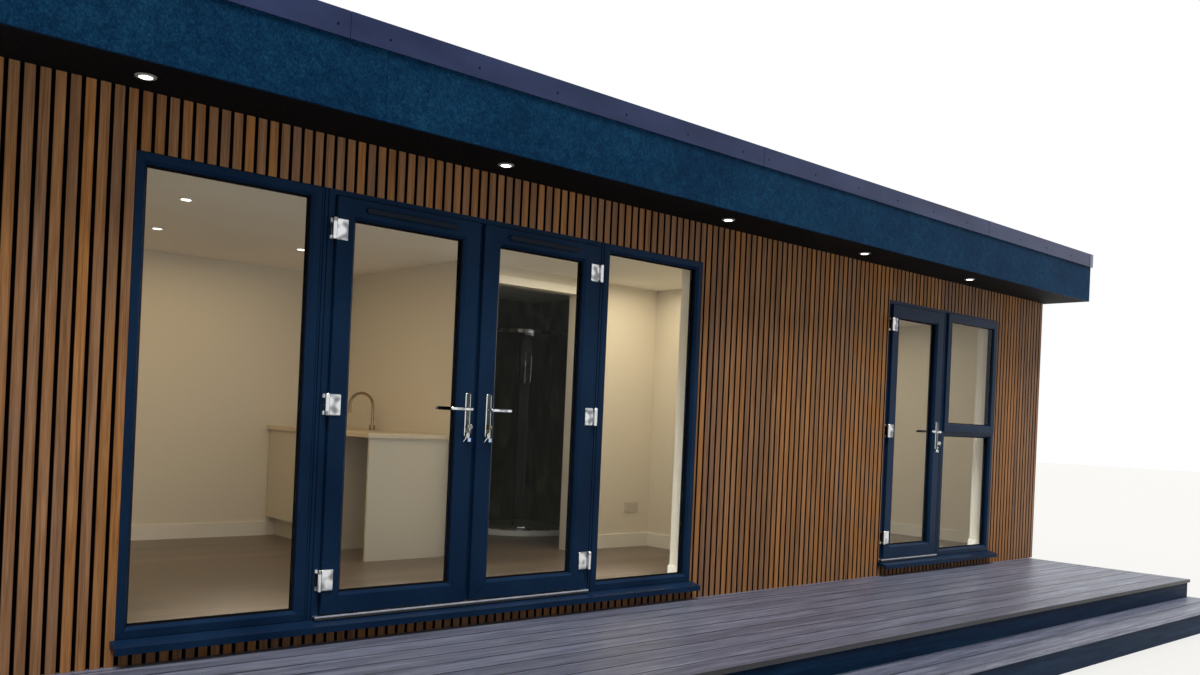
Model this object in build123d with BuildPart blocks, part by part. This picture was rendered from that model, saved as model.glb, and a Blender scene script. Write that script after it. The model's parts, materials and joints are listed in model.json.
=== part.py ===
"""Garden annexe: a flat-roofed timber-framed garden building with slatted cladding, French doors
between side lights, a single door beside a window, a deck with one step and a lit soffit.

Millimetres. +X runs right along the front, +Y goes into the building, +Z is up. The origin is on
the ground under the middle of the wall box."""

import os

from build123d import *

os.makedirs("parts", exist_ok=True)

# Wall box, measured over the faces of the cladding
wall_length = 9080
wall_depth = 3600
wall_thickness = 190
left_pier = 885
french_width = 3472
door_set_width = 1723
right_pier = 859

# Levels above the ground
base_top = 205
floor_top = 405
frame_bottom = 435
frame_height = 2050
header_height = 250
ceiling_rise = 70
side_clad_bottom = 60
laminate = 15
ceiling_board = 12

# Slatted cladding
slat_pitch = 55.3
slat_face = 40
slat_depth = 18
clad_backing = 8

# Roof
front_overhang = 410
roof_lip = 40
fascia_height = 313
fascia_board = 18
soffit_board = 10
trim_height = 118
trim_proud = 12
trim_flange = 90
trim_sheet = 4
trim_length = 2793
trim_first_joint = 1655
trim_joints = 3
board_joint = 2
fascia_first_joint = 1811
trim_cap_width = 60
trim_cap_proud = 3
roof_top_drop = 60
downlight_radius = 42
downlight_inset = 205
downlight_drop = 6
downlight_xs = (-3692, -1914, -192, 1292, 2788)

# Deck and step
deck_top = 325
deck_reach = 1395
deck_inset = 80
deck_board = 146
deck_gap = 4
deck_board_thickness = 25
riser_thickness = 20
riser_setback = 15
bearer_width = 45
bearer_depth = 145
bearer_pitch = 890
post_size = 90
board_end_gap = 2
step_top = 179
step_reach = 328
step_boards = 2

# Base and floor
sole_width = 200
cross_bearer_count = 3
sole_joint = 3

# Window and door frames
frame_depth = 70
fixed_sight = 50
bead = 14
coupling_post = 40
coupling_groove = 6
side_light_width = 841
door_jamb = 26
door_stop = 20
door_stop_depth = 14
edge_chamfer = 3
glass_thickness = 24
glass_setback = 30
threshold_height = 20
threshold_nose = 25
sill_height = 30
sill_projection = 80
sill_fall = 18
sill_nose = 30
sill_horn = 18
door_panel_width = 816
transom_face = 60
sash_overlap = 14
sash_proud = 14
sash_stile = 70
sash_bead = 10

# Door leaves
leaf_gap = 5
leaf_proud = 20
leaf_depth = 70
leaf_stile = 100
meeting_rebate = 22
meeting_setback = 24
meeting_play = 5
meeting_extra = 13
vent_height = 24
vent_proud = 10
vent_chamfer = 6
vent_drop = 36
vent_inset = 150

# Flag hinges
hinge_end = 190
hinge_length = 100
barrel_radius = 11
pin_radius = 4
pin_clearance = 0.3
flag_barrel = 64
barrel_gap = 0.5
flag_width = 60
flag_thickness = 5
flag_corner = 6
flag_gap = 2
frame_flag_width = 22
hinge_arm = 6
arm_bite = 1
hinge_shift = 1
hinge_gap = 3

# Lever handles
handle_height = 1035
handle_inset = 56
left_handle_inset = 40
right_handle_inset = 66
plate_width = 33
plate_length = 240
plate_thickness = 8
plate_round = 2
plate_above = 88
cylinder_drop = 92
cylinder_radius = 8.5
cylinder_proud = 4
spindle_radius = 4
spindle_clearance = 0.5
neck_radius = 9
neck_length = 40
neck_gap = 0.3
lever_length = 135
lever_height = 18
lever_thickness = 12
lever_bevel = 3

# Rooms: the divider is measured from the door set, the bathroom from the divider and from the
# front cladding face, and the doorway from the bathroom's left wall and from the ceiling
partition = 100
divider_from_doors = 798
bath_width = 1960
bath_front = 1680
bath_door_inset = 280
bath_door_width = 800
bath_door_head = 130
skirting_height = 110
skirting_thickness = 15
architrave_width = 60
architrave_thickness = 16
plan_gap = 1
unit_run_front = 1770
unit_depth = 640
unit_height = 850
unit_panel = 18
unit_bay = 600
unit_door = 507
unit_door_thickness = 20
unit_door_gap = 3
unit_plinth = 150
unit_plinth_setback = 60
worktop_thickness = 30
worktop_lip = 20
tap_y = 2775
tap_wall_gap = 70
tap_radius = 11
tap_height = 190
tap_bend = 100
tap_drop = 60
tap_base_radius = 24
tap_base_height = 40
socket_width = 146
socket_height = 86
socket_thickness = 9
socket_rise = 330
socket_from_divider = 200
tray_size = 900
tray_straight = 0.4
tray_height = 45
screen_glass = 8
screen_height = 1730
screen_inset = 30
rail_size = 30
room_light_places = ((1520, 1233), (1731, 2353), (2696, 2310))
room_light_radius = 42
room_light_drop = 6

# Places worked out from the sizes above
x_left = -wall_length / 2
x_right = wall_length / 2
y_front = -wall_depth / 2
y_back = wall_depth / 2
clad = slat_depth + clad_backing
core_left = x_left + clad
core_right = x_right - clad
core_front = y_front + clad
core_back = y_back - clad
room_left = x_left + wall_thickness
room_right = x_right - wall_thickness
room_front = y_front + wall_thickness
room_back = y_back - wall_thickness
french_x0 = x_left + left_pier
french_x1 = french_x0 + french_width
door_x1 = x_right - right_pier
door_x0 = door_x1 - door_set_width
frame_top = frame_bottom + frame_height
soffit_level = frame_top + header_height
ceiling_level = frame_top + ceiling_rise
sill_bottom = frame_bottom - sill_height
soffit_top = soffit_level + soffit_board
fascia_top = soffit_level + fascia_height
roof_edge_top = fascia_top + trim_height
roof_top = roof_edge_top - roof_top_drop
roof_front = y_front - front_overhang
roof_back = y_back + roof_lip
roof_left = x_left - roof_lip
roof_right = x_right + roof_lip
deck_left = x_left + deck_inset
deck_right = x_right - deck_inset
deck_front = y_front - deck_reach
step_front = deck_front - step_reach
french_door_x0 = french_x0 + side_light_width + coupling_post
french_door_x1 = french_x1 - side_light_width - coupling_post
single_door_x1 = door_x0 + door_panel_width
window_x0 = single_door_x1 + coupling_post
meeting_x = (french_door_x0 + french_door_x1) / 2
leaf_bottom = frame_bottom + threshold_height + leaf_gap
leaf_top = frame_top - door_jamb - leaf_gap
leaf_face = y_front - leaf_proud
leaf_back = leaf_face + leaf_depth
hinge_y = leaf_face - barrel_radius - hinge_gap
hinge_x_offset = door_jamb / 2 - hinge_shift
hinge_heights = (hinge_end, frame_height / 2, frame_height - hinge_end)
left_hinge_x = french_door_x0 + hinge_x_offset
right_hinge_x = french_door_x1 - hinge_x_offset
single_hinge_x = door_x0 + hinge_x_offset
left_leaf_x = (french_door_x0 + door_jamb + leaf_gap, meeting_x - leaf_gap / 2)
right_leaf_x = (meeting_x + leaf_gap / 2 + meeting_rebate, french_door_x1 - door_jamb - leaf_gap)
single_leaf_x = (door_x0 + door_jamb + leaf_gap, single_door_x1 - door_jamb - leaf_gap)
side_light_left = (french_x0, french_x0 + side_light_width)
side_light_right = (french_x1 - side_light_width, french_x1)
window_x = (window_x0, door_x1)
frame_z = (frame_bottom, frame_top)
transom = frame_bottom + frame_height / 2
lower_light_z = (frame_bottom, transom + transom_face / 2)
sash_x = (window_x[0] + sash_overlap, window_x[1] - sash_overlap)
sash_z = (transom + transom_face / 2 - sash_overlap, frame_top - sash_overlap)
sash_face = y_front - sash_proud
divider_right = door_x0 - divider_from_doors
bath_x1 = divider_right - partition
bath_x0 = bath_x1 - bath_width
bath_y = y_front + bath_front
bath_door_x0 = bath_x0 + bath_door_inset
bath_door_x1 = bath_door_x0 + bath_door_width
bath_door_top = ceiling_level - bath_door_head
unit_x0 = bath_x0 - unit_depth
unit_y0 = y_front + unit_run_front
unit_top = floor_top + unit_height


def wall_plane(y):
    """A sketch plane facing the front at depth y: x runs right, y runs up."""
    return Plane.XZ.offset(-y)


def block(x, y, z):
    """A plain rectangular piece between the given pairs of limits."""
    with Locations(((x[0] + x[1]) / 2, (y[0] + y[1]) / 2, (z[0] + z[1]) / 2)):
        Box(x[1] - x[0], y[1] - y[0], z[1] - z[0])


def save(name, piece):
    piece.part.label = name
    export_step(piece.part, f"parts/{name}.step")


def slats(start, end, first, z, plane_side):
    """One cladding panel seen in plan: a backing board with upright slats on its outer side.

    start and end are the limits along the wall, first is the wall's own end where the slat pattern
    starts, and plane_side is the sketch plane whose y axis points out of the wall."""
    outline = [(start, 0), (end, 0), (end, clad_backing)]
    slat_count = int((end - first) / slat_pitch) + 1
    for i in reversed(range(slat_count)):
        middle = first + (i + 0.5) * slat_pitch
        low = max(start, middle - slat_face / 2)
        high = min(end, middle + slat_face / 2)
        if high - low > slat_depth / 2:
            outline += [(high, clad_backing), (high, clad), (low, clad), (low, clad_backing)]
    outline.append((start, clad_backing))
    corners = [point for i, point in enumerate(outline) if i == 0 or point != outline[i - 1]]
    with BuildSketch(plane_side.offset(z[0])) as section:
        with BuildLine():
            Polyline(corners, close=True)
        make_face()
    extrude(section.sketch, amount=z[1] - z[0])


front_side = Plane(origin=(0, core_front, 0), x_dir=(-1, 0, 0), z_dir=(0, 0, 1))
back_side = Plane(origin=(0, core_back, 0), x_dir=(1, 0, 0), z_dir=(0, 0, 1))
left_side = Plane(origin=(core_left, 0, 0), x_dir=(0, 1, 0), z_dir=(0, 0, 1))
right_side = Plane(origin=(core_right, 0, 0), x_dir=(0, -1, 0), z_dir=(0, 0, 1))


def base_and_floor():
    sole_z = (0, base_top)
    inner_front = core_front + sole_width
    inner_back = core_back - sole_width
    cross_y = (inner_front + sole_joint, inner_back - sole_joint)
    cross_pitch = (core_right - core_left - sole_width) / (cross_bearer_count + 1)
    with BuildPart() as base_frame:
        block((core_left, core_right), (core_front, inner_front), sole_z)
        block((core_left, core_right), (inner_back, core_back), sole_z)
        for i in range(cross_bearer_count + 2):
            start = core_left + i * cross_pitch
            block((start, start + sole_width), cross_y, sole_z)
    save("base_frame", base_frame)

    with BuildPart() as floor_panel:
        block((room_left, room_right), (room_front, room_back), (base_top, floor_top - laminate))
    save("floor_panel", floor_panel)

    with BuildPart() as laminate_floor:
        block((room_left, room_right), (room_front, room_back), (floor_top - laminate, floor_top))
    save("laminate_floor", laminate_floor)


def walls():
    core_y = (core_front, room_front)
    full = (base_top, soffit_top)
    with BuildPart() as front_wall_piers:
        block((room_left, french_x0), core_y, full)
        block((french_x1, door_x0), core_y, full)
        block((door_x1, room_right), core_y, full)
    save("front_wall_piers", front_wall_piers)

    with BuildPart() as front_wall_rails:
        for x in ((french_x0, french_x1), (door_x0, door_x1)):
            block(x, core_y, (base_top, sill_bottom))
            block(x, core_y, (frame_top, soffit_top))
    save("front_wall_rails", front_wall_rails)

    with BuildPart() as end_walls:
        block((core_left, room_left), (core_front, core_back), full)
        block((room_right, core_right), (core_front, core_back), full)
    save("end_walls", end_walls)

    with BuildPart() as back_wall:
        block((room_left, room_right), (room_back, core_back), full)
    save("back_wall", back_wall)

    ceiling_z = (ceiling_level, ceiling_level + ceiling_board)
    with BuildPart() as ceiling:
        block((room_left, room_right), (room_front, room_back), ceiling_z)
    save("ceiling", ceiling)


def cladding():
    with BuildPart() as front_cladding:
        for start, end in ((x_left, french_x0), (french_x1, door_x0), (door_x1, x_right)):
            slats(-end, -start, -x_right, (deck_top, soffit_level), front_side)
    save("front_cladding", front_cladding)

    with BuildPart() as front_cladding_bands:
        for start, end in ((french_x0, french_x1), (door_x0, door_x1)):
            slats(-end, -start, -x_right, (deck_top, sill_bottom), front_side)
            slats(-end, -start, -x_right, (frame_top, soffit_level), front_side)
    save("front_cladding_bands", front_cladding_bands)

    with BuildPart() as end_cladding:
        for side in (left_side, right_side):
            slats(core_front, core_back, core_front, (side_clad_bottom, soffit_level), side)
    save("end_cladding", end_cladding)

    with BuildPart() as back_cladding:
        slats(x_left, x_right, x_left, (side_clad_bottom, soffit_level), back_side)
    save("back_cladding", back_cladding)


def trim_run(plane, start, end):
    """One length of the roof edge trim: an upright leg on the fascia and a flange over the roof."""
    leg = fascia_board + trim_proud
    with BuildSketch(plane.offset(start)) as section:
        with BuildLine():
            Polyline(
                (0, 0),
                (0, trim_height),
                (trim_flange, trim_height),
                (trim_flange, trim_height - trim_sheet),
                (leg, trim_height - trim_sheet),
                (leg, 0),
                close=True,
            )
        make_face()
    extrude(section.sketch, amount=end - start)


def roof():
    inner_front = roof_front + fascia_board
    inner_back = roof_back - fascia_board
    inner_left = roof_left + fascia_board
    inner_right = roof_right - fascia_board
    with BuildPart() as roof_deck:
        block((inner_left, inner_right), (inner_front, inner_back), (soffit_top, roof_top))
    save("roof_deck", roof_deck)

    with BuildPart() as soffit:
        block((inner_left, inner_right), (inner_front, core_front), (soffit_level, soffit_top))
    save("soffit", soffit)

    fascia_joint = x_left + fascia_first_joint
    fascia_z = (soffit_level, fascia_top)
    with BuildPart() as fascia_boards:
        block((roof_left, fascia_joint - board_joint), (roof_front, inner_front), fascia_z)
        block((fascia_joint, roof_right), (roof_front, inner_front), fascia_z)
        block((roof_left, roof_right), (inner_back, roof_back), fascia_z)
        for x in ((roof_left, inner_left), (inner_right, roof_right)):
            block(x, (inner_front + board_joint, inner_back - board_joint), fascia_z)
    save("fascia_boards", fascia_boards)

    trim_front = roof_front - trim_proud
    trim_back = roof_back + trim_proud
    trim_left = roof_left - trim_proud
    trim_right = roof_right + trim_proud
    joints = [roof_left + trim_first_joint + i * trim_length for i in range(trim_joints)]
    starts = [trim_left] + [joint + board_joint for joint in joints]
    ends = joints + [trim_right]
    along_x = Plane(origin=(0, trim_front, fascia_top), x_dir=(0, 1, 0), z_dir=(1, 0, 0))
    along_x_back = Plane(origin=(0, trim_back, fascia_top), x_dir=(0, -1, 0), z_dir=(-1, 0, 0))
    along_y_left = Plane(origin=(trim_left, 0, fascia_top), x_dir=(1, 0, 0), z_dir=(0, -1, 0))
    along_y_right = Plane(origin=(trim_right, 0, fascia_top), x_dir=(-1, 0, 0), z_dir=(0, 1, 0))
    side_start = trim_front + trim_flange + board_joint
    side_end = trim_back - trim_flange - board_joint
    cap_y = (trim_front - trim_cap_proud, trim_front)
    with BuildPart() as roof_trim:
        for start, end in zip(starts, ends):
            trim_run(along_x, start, end)
            trim_run(along_x_back, -end, -start)
        trim_run(along_y_left, -side_end, -side_start)
        trim_run(along_y_right, side_start, side_end)
        for x in (trim_left, trim_right - trim_cap_width):
            block((x, x + trim_cap_width), cap_y, (fascia_top, roof_edge_top))
    save("roof_trim", roof_trim)

    with BuildPart() as downlights:
        with BuildSketch(Plane.XY.offset(soffit_level - downlight_drop)):
            with Locations([(x, y_front - downlight_inset) for x in downlight_xs]):
                Circle(downlight_radius)
        extrude(amount=downlight_drop)
        undersides = downlights.faces().sort_by(Axis.Z)[:len(downlight_xs)]
        chamfer(undersides.edges(), downlight_drop / 2)
    save("downlights", downlights)


def deck():
    top_z = (deck_top - deck_board_thickness, deck_top)
    pitch = deck_board + deck_gap
    with BuildPart() as deck_boards:
        y = deck_front
        while y < core_front:
            block((deck_left, deck_right), (y, min(y + deck_board, core_front)), top_z)
            y += pitch
    save("deck_boards", deck_boards)

    step_pitch = (step_reach + riser_setback) / step_boards
    with BuildPart() as step_treads:
        for i in range(step_boards):
            start = step_front + i * step_pitch
            block(
                (deck_left, deck_right),
                (start, start + step_pitch - deck_gap),
                (step_top - deck_board_thickness, step_top),
            )
    save("step_treads", step_treads)

    riser_left = deck_left + riser_setback
    riser_right = deck_right - riser_setback
    deck_riser_y = deck_front + riser_setback
    step_riser_y = step_front + riser_setback
    tread_under = step_top - deck_board_thickness
    step_side_y = (step_riser_y + riser_thickness + board_end_gap, deck_riser_y - board_end_gap)
    deck_side_y = (deck_riser_y + riser_thickness + board_end_gap, core_front)
    with BuildPart() as risers:
        for y, top in ((deck_riser_y, top_z[0]), (step_riser_y, tread_under)):
            block((riser_left, riser_right), (y, y + riser_thickness), (0, top))
        for x in (riser_left, riser_right - riser_thickness):
            block((x, x + riser_thickness), deck_side_y, (0, top_z[0]))
            block((x, x + riser_thickness), step_side_y, (0, tread_under))
    save("deck_risers", risers)

    bearer_count = int((riser_right - riser_left) / bearer_pitch) - 1
    bearer_xs = [((i + 0.5) / bearer_count - 0.5) * (riser_right - riser_left) for i in range(bearer_count)]
    bearer_under = top_z[0] - bearer_depth
    start_y = deck_riser_y + riser_thickness
    with BuildPart() as deck_bearers:
        for x in bearer_xs:
            span = (x - bearer_width / 2, x + bearer_width / 2)
            block(span, (start_y, core_front), (bearer_under, top_z[0]))
            block(span, (step_riser_y + riser_thickness, deck_riser_y), (0, tread_under))
    save("deck_bearers", deck_bearers)

    post_y = (start_y + post_size / 2, (start_y + core_front) / 2, core_front - post_size / 2)
    with BuildPart() as deck_posts:
        with Locations([(x, y, bearer_under / 2) for x in bearer_xs for y in post_y]):
            Box(post_size, post_size, bearer_under)
    save("deck_posts", deck_posts)


def bevelled_ring(x, z, face, sight, depth, bevel, left_extra=0):
    """A mitred frame between the limits x and z, with a bevelled bead round its opening. Its left
    side is wider by left_extra."""
    width = x[1] - x[0]
    height = z[1] - z[0]
    with BuildPart() as ring:
        with BuildSketch(wall_plane(face + depth)):
            with Locations(((x[0] + x[1]) / 2, (z[0] + z[1]) / 2)):
                Rectangle(width, height)
            with Locations(((x[0] + left_extra + x[1]) / 2, (z[0] + z[1]) / 2)):
                Rectangle(width - left_extra - 2 * sight, height - 2 * sight, mode=Mode.SUBTRACT)
        extrude(amount=depth)
        outside = ring.faces().sort_by(Axis.Y)[0]
        chamfer(outside.inner_wires()[0].edges(), bevel)
        outside = ring.faces().sort_by(Axis.Y)[0]
        chamfer(outside.outer_wire().edges(), edge_chamfer)
    return ring


def glass_pane(x, z, face, sight):
    """The sealed glass unit that fills the opening of a frame."""
    block(
        (x[0] + sight, x[1] - sight),
        (face + glass_setback, face + glass_setback + glass_thickness),
        (z[0] + sight, z[1] - sight),
    )


def fixed_lights():
    with BuildPart() as fixed_frames:
        for x in (side_light_left, side_light_right):
            add(bevelled_ring(x, frame_z, y_front, fixed_sight, frame_depth, bead).part)
        add(bevelled_ring(window_x, lower_light_z, y_front, fixed_sight, frame_depth, bead).part)
        width = window_x[1] - window_x[0]
        with BuildSketch(wall_plane(y_front + frame_depth)):
            with Locations(((window_x[0] + window_x[1]) / 2, (lower_light_z[1] + frame_top) / 2)):
                Rectangle(width, frame_top - lower_light_z[1])
                Rectangle(
                    width - 2 * fixed_sight,
                    frame_top - lower_light_z[1] - 2 * fixed_sight,
                    mode=Mode.SUBTRACT,
                )
        extrude(amount=frame_depth)
    save("fixed_frames", fixed_frames)

    posts = (
        (side_light_left[1], french_door_x0),
        (french_door_x1, side_light_right[0]),
        (single_door_x1, window_x0),
    )
    with BuildPart() as coupling_posts:
        for x in posts:
            with BuildSketch(Plane.XY.offset(frame_bottom)):
                with Locations(((x[0] + x[1]) / 2, y_front + frame_depth / 2)):
                    Rectangle(coupling_post, frame_depth)
                for offset in (-coupling_post / 4, coupling_post / 4):
                    with Locations(((x[0] + x[1]) / 2 + offset, y_front)):
                        Rectangle(coupling_groove, 2 * coupling_groove, mode=Mode.SUBTRACT)
            extrude(amount=frame_height)
    save("coupling_posts", coupling_posts)

    upper_opening = (lower_light_z[1] + fixed_sight, frame_top - fixed_sight)
    with BuildPart() as window_sash:
        add(bevelled_ring(sash_x, sash_z, sash_face, sash_stile, sash_proud, sash_bead).part)
    save("window_sash", window_sash)

    with BuildPart() as fixed_glass:
        for x in (side_light_left, side_light_right):
            glass_pane(x, frame_z, y_front, fixed_sight)
        glass_pane(window_x, lower_light_z, y_front, fixed_sight)
        block(
            (window_x[0] + fixed_sight, window_x[1] - fixed_sight),
            (y_front, y_front + glass_thickness),
            upper_opening,
        )
    save("fixed_glass", fixed_glass)


def door_openings():
    """The two door frames with their inner stops, the thresholds and the sills."""
    frames = ((french_door_x0, french_door_x1), (door_x0, single_door_x1))
    with BuildPart() as door_frames:
        for x0, x1 in frames:
            middle = (x0 + x1) / 2
            with BuildSketch(wall_plane(y_front + frame_depth)):
                with Locations((middle, frame_bottom + frame_height / 2)):
                    Rectangle(x1 - x0, frame_height)
                with Locations((middle, frame_bottom + (frame_height - door_jamb) / 2)):
                    Rectangle(x1 - x0 - 2 * door_jamb, frame_height - door_jamb, mode=Mode.SUBTRACT)
            extrude(amount=frame_depth)
            with BuildSketch(wall_plane(y_front + frame_depth)):
                with Locations((middle, frame_bottom + (frame_height - door_jamb) / 2)):
                    Rectangle(x1 - x0 - 2 * door_jamb, frame_height - door_jamb)
                with Locations((middle, frame_bottom + (frame_height - door_jamb - door_stop) / 2)):
                    Rectangle(
                        x1 - x0 - 2 * (door_jamb + door_stop),
                        frame_height - door_jamb - door_stop,
                        mode=Mode.SUBTRACT,
                    )
            extrude(amount=door_stop_depth)
    save("door_frames", door_frames)

    with BuildPart() as thresholds:
        for x0, x1 in frames:
            block(
                (x0 + door_jamb + door_stop, x1 - door_jamb - door_stop),
                (y_front, y_front + frame_depth),
                (frame_bottom, frame_bottom + threshold_height),
            )
            block(
                (x0, x1),
                (y_front - threshold_nose, y_front),
                (frame_bottom, frame_bottom + threshold_height),
            )
    save("thresholds", thresholds)

    nose_front = y_front - sill_projection
    nose_back = nose_front + sill_nose / 2
    nose_top = frame_bottom - sill_fall
    with BuildPart() as sills:
        for x0, x1 in ((french_x0, french_x1), (door_x0, door_x1)):
            block((x0, x1), (y_front, y_front + frame_depth), (sill_bottom, frame_bottom))
            with BuildSketch(Plane.YZ.offset(x0 - sill_horn)):
                with BuildLine():
                    Polyline(
                        (y_front, sill_bottom),
                        (y_front, frame_bottom),
                        (nose_front, nose_top),
                        (nose_front, nose_top - sill_nose),
                        (nose_back, nose_top - sill_nose),
                        (nose_back, sill_bottom),
                        close=True,
                    )
                make_face()
            extrude(amount=x1 - x0 + 2 * sill_horn)
    save("sills", sills)


def door_leaf(name, x, hinge_x, handle_x, swing, vented, rebated):
    """A glazed door leaf with its glass, flags, plates and lever. swing is 1 where the leaf lies to
    the right of its hinges and -1 where it lies to the left. A rebated leaf has a wider left stile,
    with a set-back strip that fills the joint to the other leaf."""
    z = (leaf_bottom, leaf_top)
    handle_z = frame_bottom + handle_height
    left_extra = meeting_extra if rebated else 0
    with BuildPart() as leaf:
        add(bevelled_ring(x, z, leaf_face, leaf_stile, leaf_depth, bead, left_extra).part)
        if rebated:
            strip_x = (x[0] - meeting_rebate + meeting_play, x[0])
            block(strip_x, (leaf_face + meeting_setback, leaf_back), z)
        with BuildSketch(wall_plane(leaf_back)):
            with Locations((handle_x, handle_z)):
                Circle(spindle_radius + spindle_clearance)
        extrude(amount=leaf_depth, mode=Mode.SUBTRACT)
        if vented:
            with BuildSketch(wall_plane(leaf_face)):
                with Locations(((x[0] + x[1]) / 2, leaf_top - vent_drop - vent_height / 2)):
                    SlotOverall(x[1] - x[0] - 2 * vent_inset, vent_height)
            extrude(amount=vent_proud)
            chamfer(leaf.faces().sort_by(Axis.Y)[0].edges(), vent_chamfer)
    save(f"{name}_leaf", leaf)

    with BuildPart() as glass:
        glass_pane((x[0] + left_extra, x[1]), z, leaf_face, leaf_stile)
    save(f"{name}_glass", glass)

    plate_z = handle_z + plate_above - plate_length / 2
    with BuildPart() as hardware:
        for height in hinge_heights:
            hinge_flag(hinge_x, frame_bottom + height, swing)
        for y in (leaf_face, leaf_back + plate_thickness):
            with BuildSketch(wall_plane(y)):
                with Locations((handle_x, plate_z)):
                    SlotOverall(plate_length, plate_width, rotation=90)
                with Locations((handle_x, handle_z)):
                    Circle(spindle_radius + spindle_clearance, mode=Mode.SUBTRACT)
            extrude(amount=plate_thickness)
        for side in (0, -1):
            plate_face = hardware.faces().filter_by(Axis.Y).sort_by(Axis.Y)[side]
            chamfer(plate_face.outer_wire().edges(), plate_round)
        for y in (leaf_face - plate_thickness, leaf_back + plate_thickness + cylinder_proud):
            with BuildSketch(wall_plane(y)):
                with Locations((handle_x, handle_z - cylinder_drop)):
                    Circle(cylinder_radius)
            extrude(amount=cylinder_proud)
    save(f"{name}_hardware", hardware)

    outer = leaf_face - plate_thickness - neck_gap
    inner = leaf_back + plate_thickness + neck_gap
    reach = -swing
    with BuildPart() as lever:
        with BuildSketch(wall_plane(inner + neck_length)):
            with Locations((handle_x, handle_z)):
                Circle(spindle_radius)
        extrude(amount=inner - outer + 2 * neck_length)
        for y in (outer, inner + neck_length):
            with BuildSketch(wall_plane(y)):
                with Locations((handle_x, handle_z)):
                    Circle(neck_radius)
            extrude(amount=neck_length)
        for y in (outer - neck_length + lever_thickness, inner + neck_length):
            with BuildSketch(wall_plane(y)):
                with Locations((handle_x + reach * (lever_length / 2 - neck_radius), handle_z)):
                    SlotOverall(lever_length, lever_height)
            extrude(amount=lever_thickness)
        for side in (0, -1):
            chamfer(lever.faces().sort_by(Axis.Y)[side].edges(), lever_bevel)
    save(f"{name}_lever", lever)


def hinge_flag(hinge_x, z, swing):
    """The moving half of a flag hinge: the plate on the leaf and the middle barrel round the pin."""
    plate_start = barrel_radius + flag_gap
    with BuildSketch(wall_plane(leaf_face)) as plate:
        with Locations((hinge_x + swing * (plate_start + flag_width / 2), z)):
            RectangleRounded(flag_width, hinge_length, flag_corner)
    extrude(plate.sketch, amount=flag_thickness)
    arm_x = sorted((hinge_x + swing * barrel_radius / 2, hinge_x + swing * (plate_start + arm_bite)))
    with BuildSketch(Plane.XY.offset(z - flag_barrel / 2)) as barrel:
        with Locations((hinge_x, hinge_y)):
            Circle(barrel_radius)
        with Locations(((arm_x[0] + arm_x[1]) / 2, leaf_face - hinge_arm / 2)):
            Rectangle(arm_x[1] - arm_x[0], hinge_arm)
        with Locations((hinge_x, hinge_y)):
            Circle(pin_radius + pin_clearance, mode=Mode.SUBTRACT)
    extrude(barrel.sketch, amount=flag_barrel)


def hinge_knuckle(hinge_x, z):
    """The fixed half: a plate on the jamb, two end barrels and the pin between them."""
    with BuildSketch(wall_plane(y_front)) as plate:
        with Locations((hinge_x, z)):
            Rectangle(frame_flag_width, hinge_length)
    extrude(plate.sketch, amount=flag_thickness)
    end_length = (hinge_length - flag_barrel) / 2 - barrel_gap
    for start in (z - hinge_length / 2, z + hinge_length / 2 - end_length):
        with BuildSketch(Plane.XY.offset(start)) as end_barrel:
            with Locations((hinge_x, hinge_y)):
                Circle(barrel_radius)
            with Locations((hinge_x, (hinge_y + y_front) / 2)):
                Rectangle(2 * pin_radius, y_front - hinge_y)
        extrude(end_barrel.sketch, amount=end_length)
    with BuildSketch(Plane.XY.offset(z - hinge_length / 2)) as pin:
        with Locations((hinge_x, hinge_y)):
            Circle(pin_radius)
    extrude(pin.sketch, amount=hinge_length)


def doors():
    left_handle_x = left_leaf_x[1] - left_handle_inset
    right_handle_x = right_leaf_x[0] + right_handle_inset
    single_handle_x = single_leaf_x[1] - handle_inset
    door_leaf("left", left_leaf_x, left_hinge_x, left_handle_x, 1, True, False)
    door_leaf("right", right_leaf_x, right_hinge_x, right_handle_x, -1, True, True)
    door_leaf("single", single_leaf_x, single_hinge_x, single_handle_x, 1, False, False)
    with BuildPart() as hinge_knuckles:
        for x in (left_hinge_x, right_hinge_x, single_hinge_x):
            for height in hinge_heights:
                hinge_knuckle(x, frame_bottom + height)
    save("hinge_knuckles", hinge_knuckles)


def partitions():
    """The bathroom block in the living room's back corner, the room divider, and their trims."""
    z = (floor_top, ceiling_level)
    bath_wall_y = (bath_y, bath_y + partition)
    with BuildPart() as partition_walls:
        block((bath_x0, bath_x0 + partition), (bath_wall_y[1] + plan_gap, room_back), z)
        block((bath_x1, divider_right), (room_front, room_back), z)
        block((bath_x0, bath_door_x0), bath_wall_y, z)
        block((bath_door_x1, bath_x1 - plan_gap), bath_wall_y, z)
        block((bath_door_x0, bath_door_x1), bath_wall_y, (bath_door_top, z[1]))
    save("partition_walls", partition_walls)

    door_height = bath_door_top - floor_top
    height = door_height + architrave_width
    middle = (bath_door_x0 + bath_door_x1) / 2
    with BuildPart() as architrave:
        with BuildSketch(wall_plane(bath_y)):
            with Locations((middle, floor_top + height / 2)):
                Rectangle(bath_door_width + 2 * architrave_width, height)
            with Locations((middle, floor_top + door_height / 2)):
                Rectangle(bath_door_width, door_height, mode=Mode.SUBTRACT)
        extrude(amount=architrave_thickness)
    save("architrave", architrave)


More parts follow.
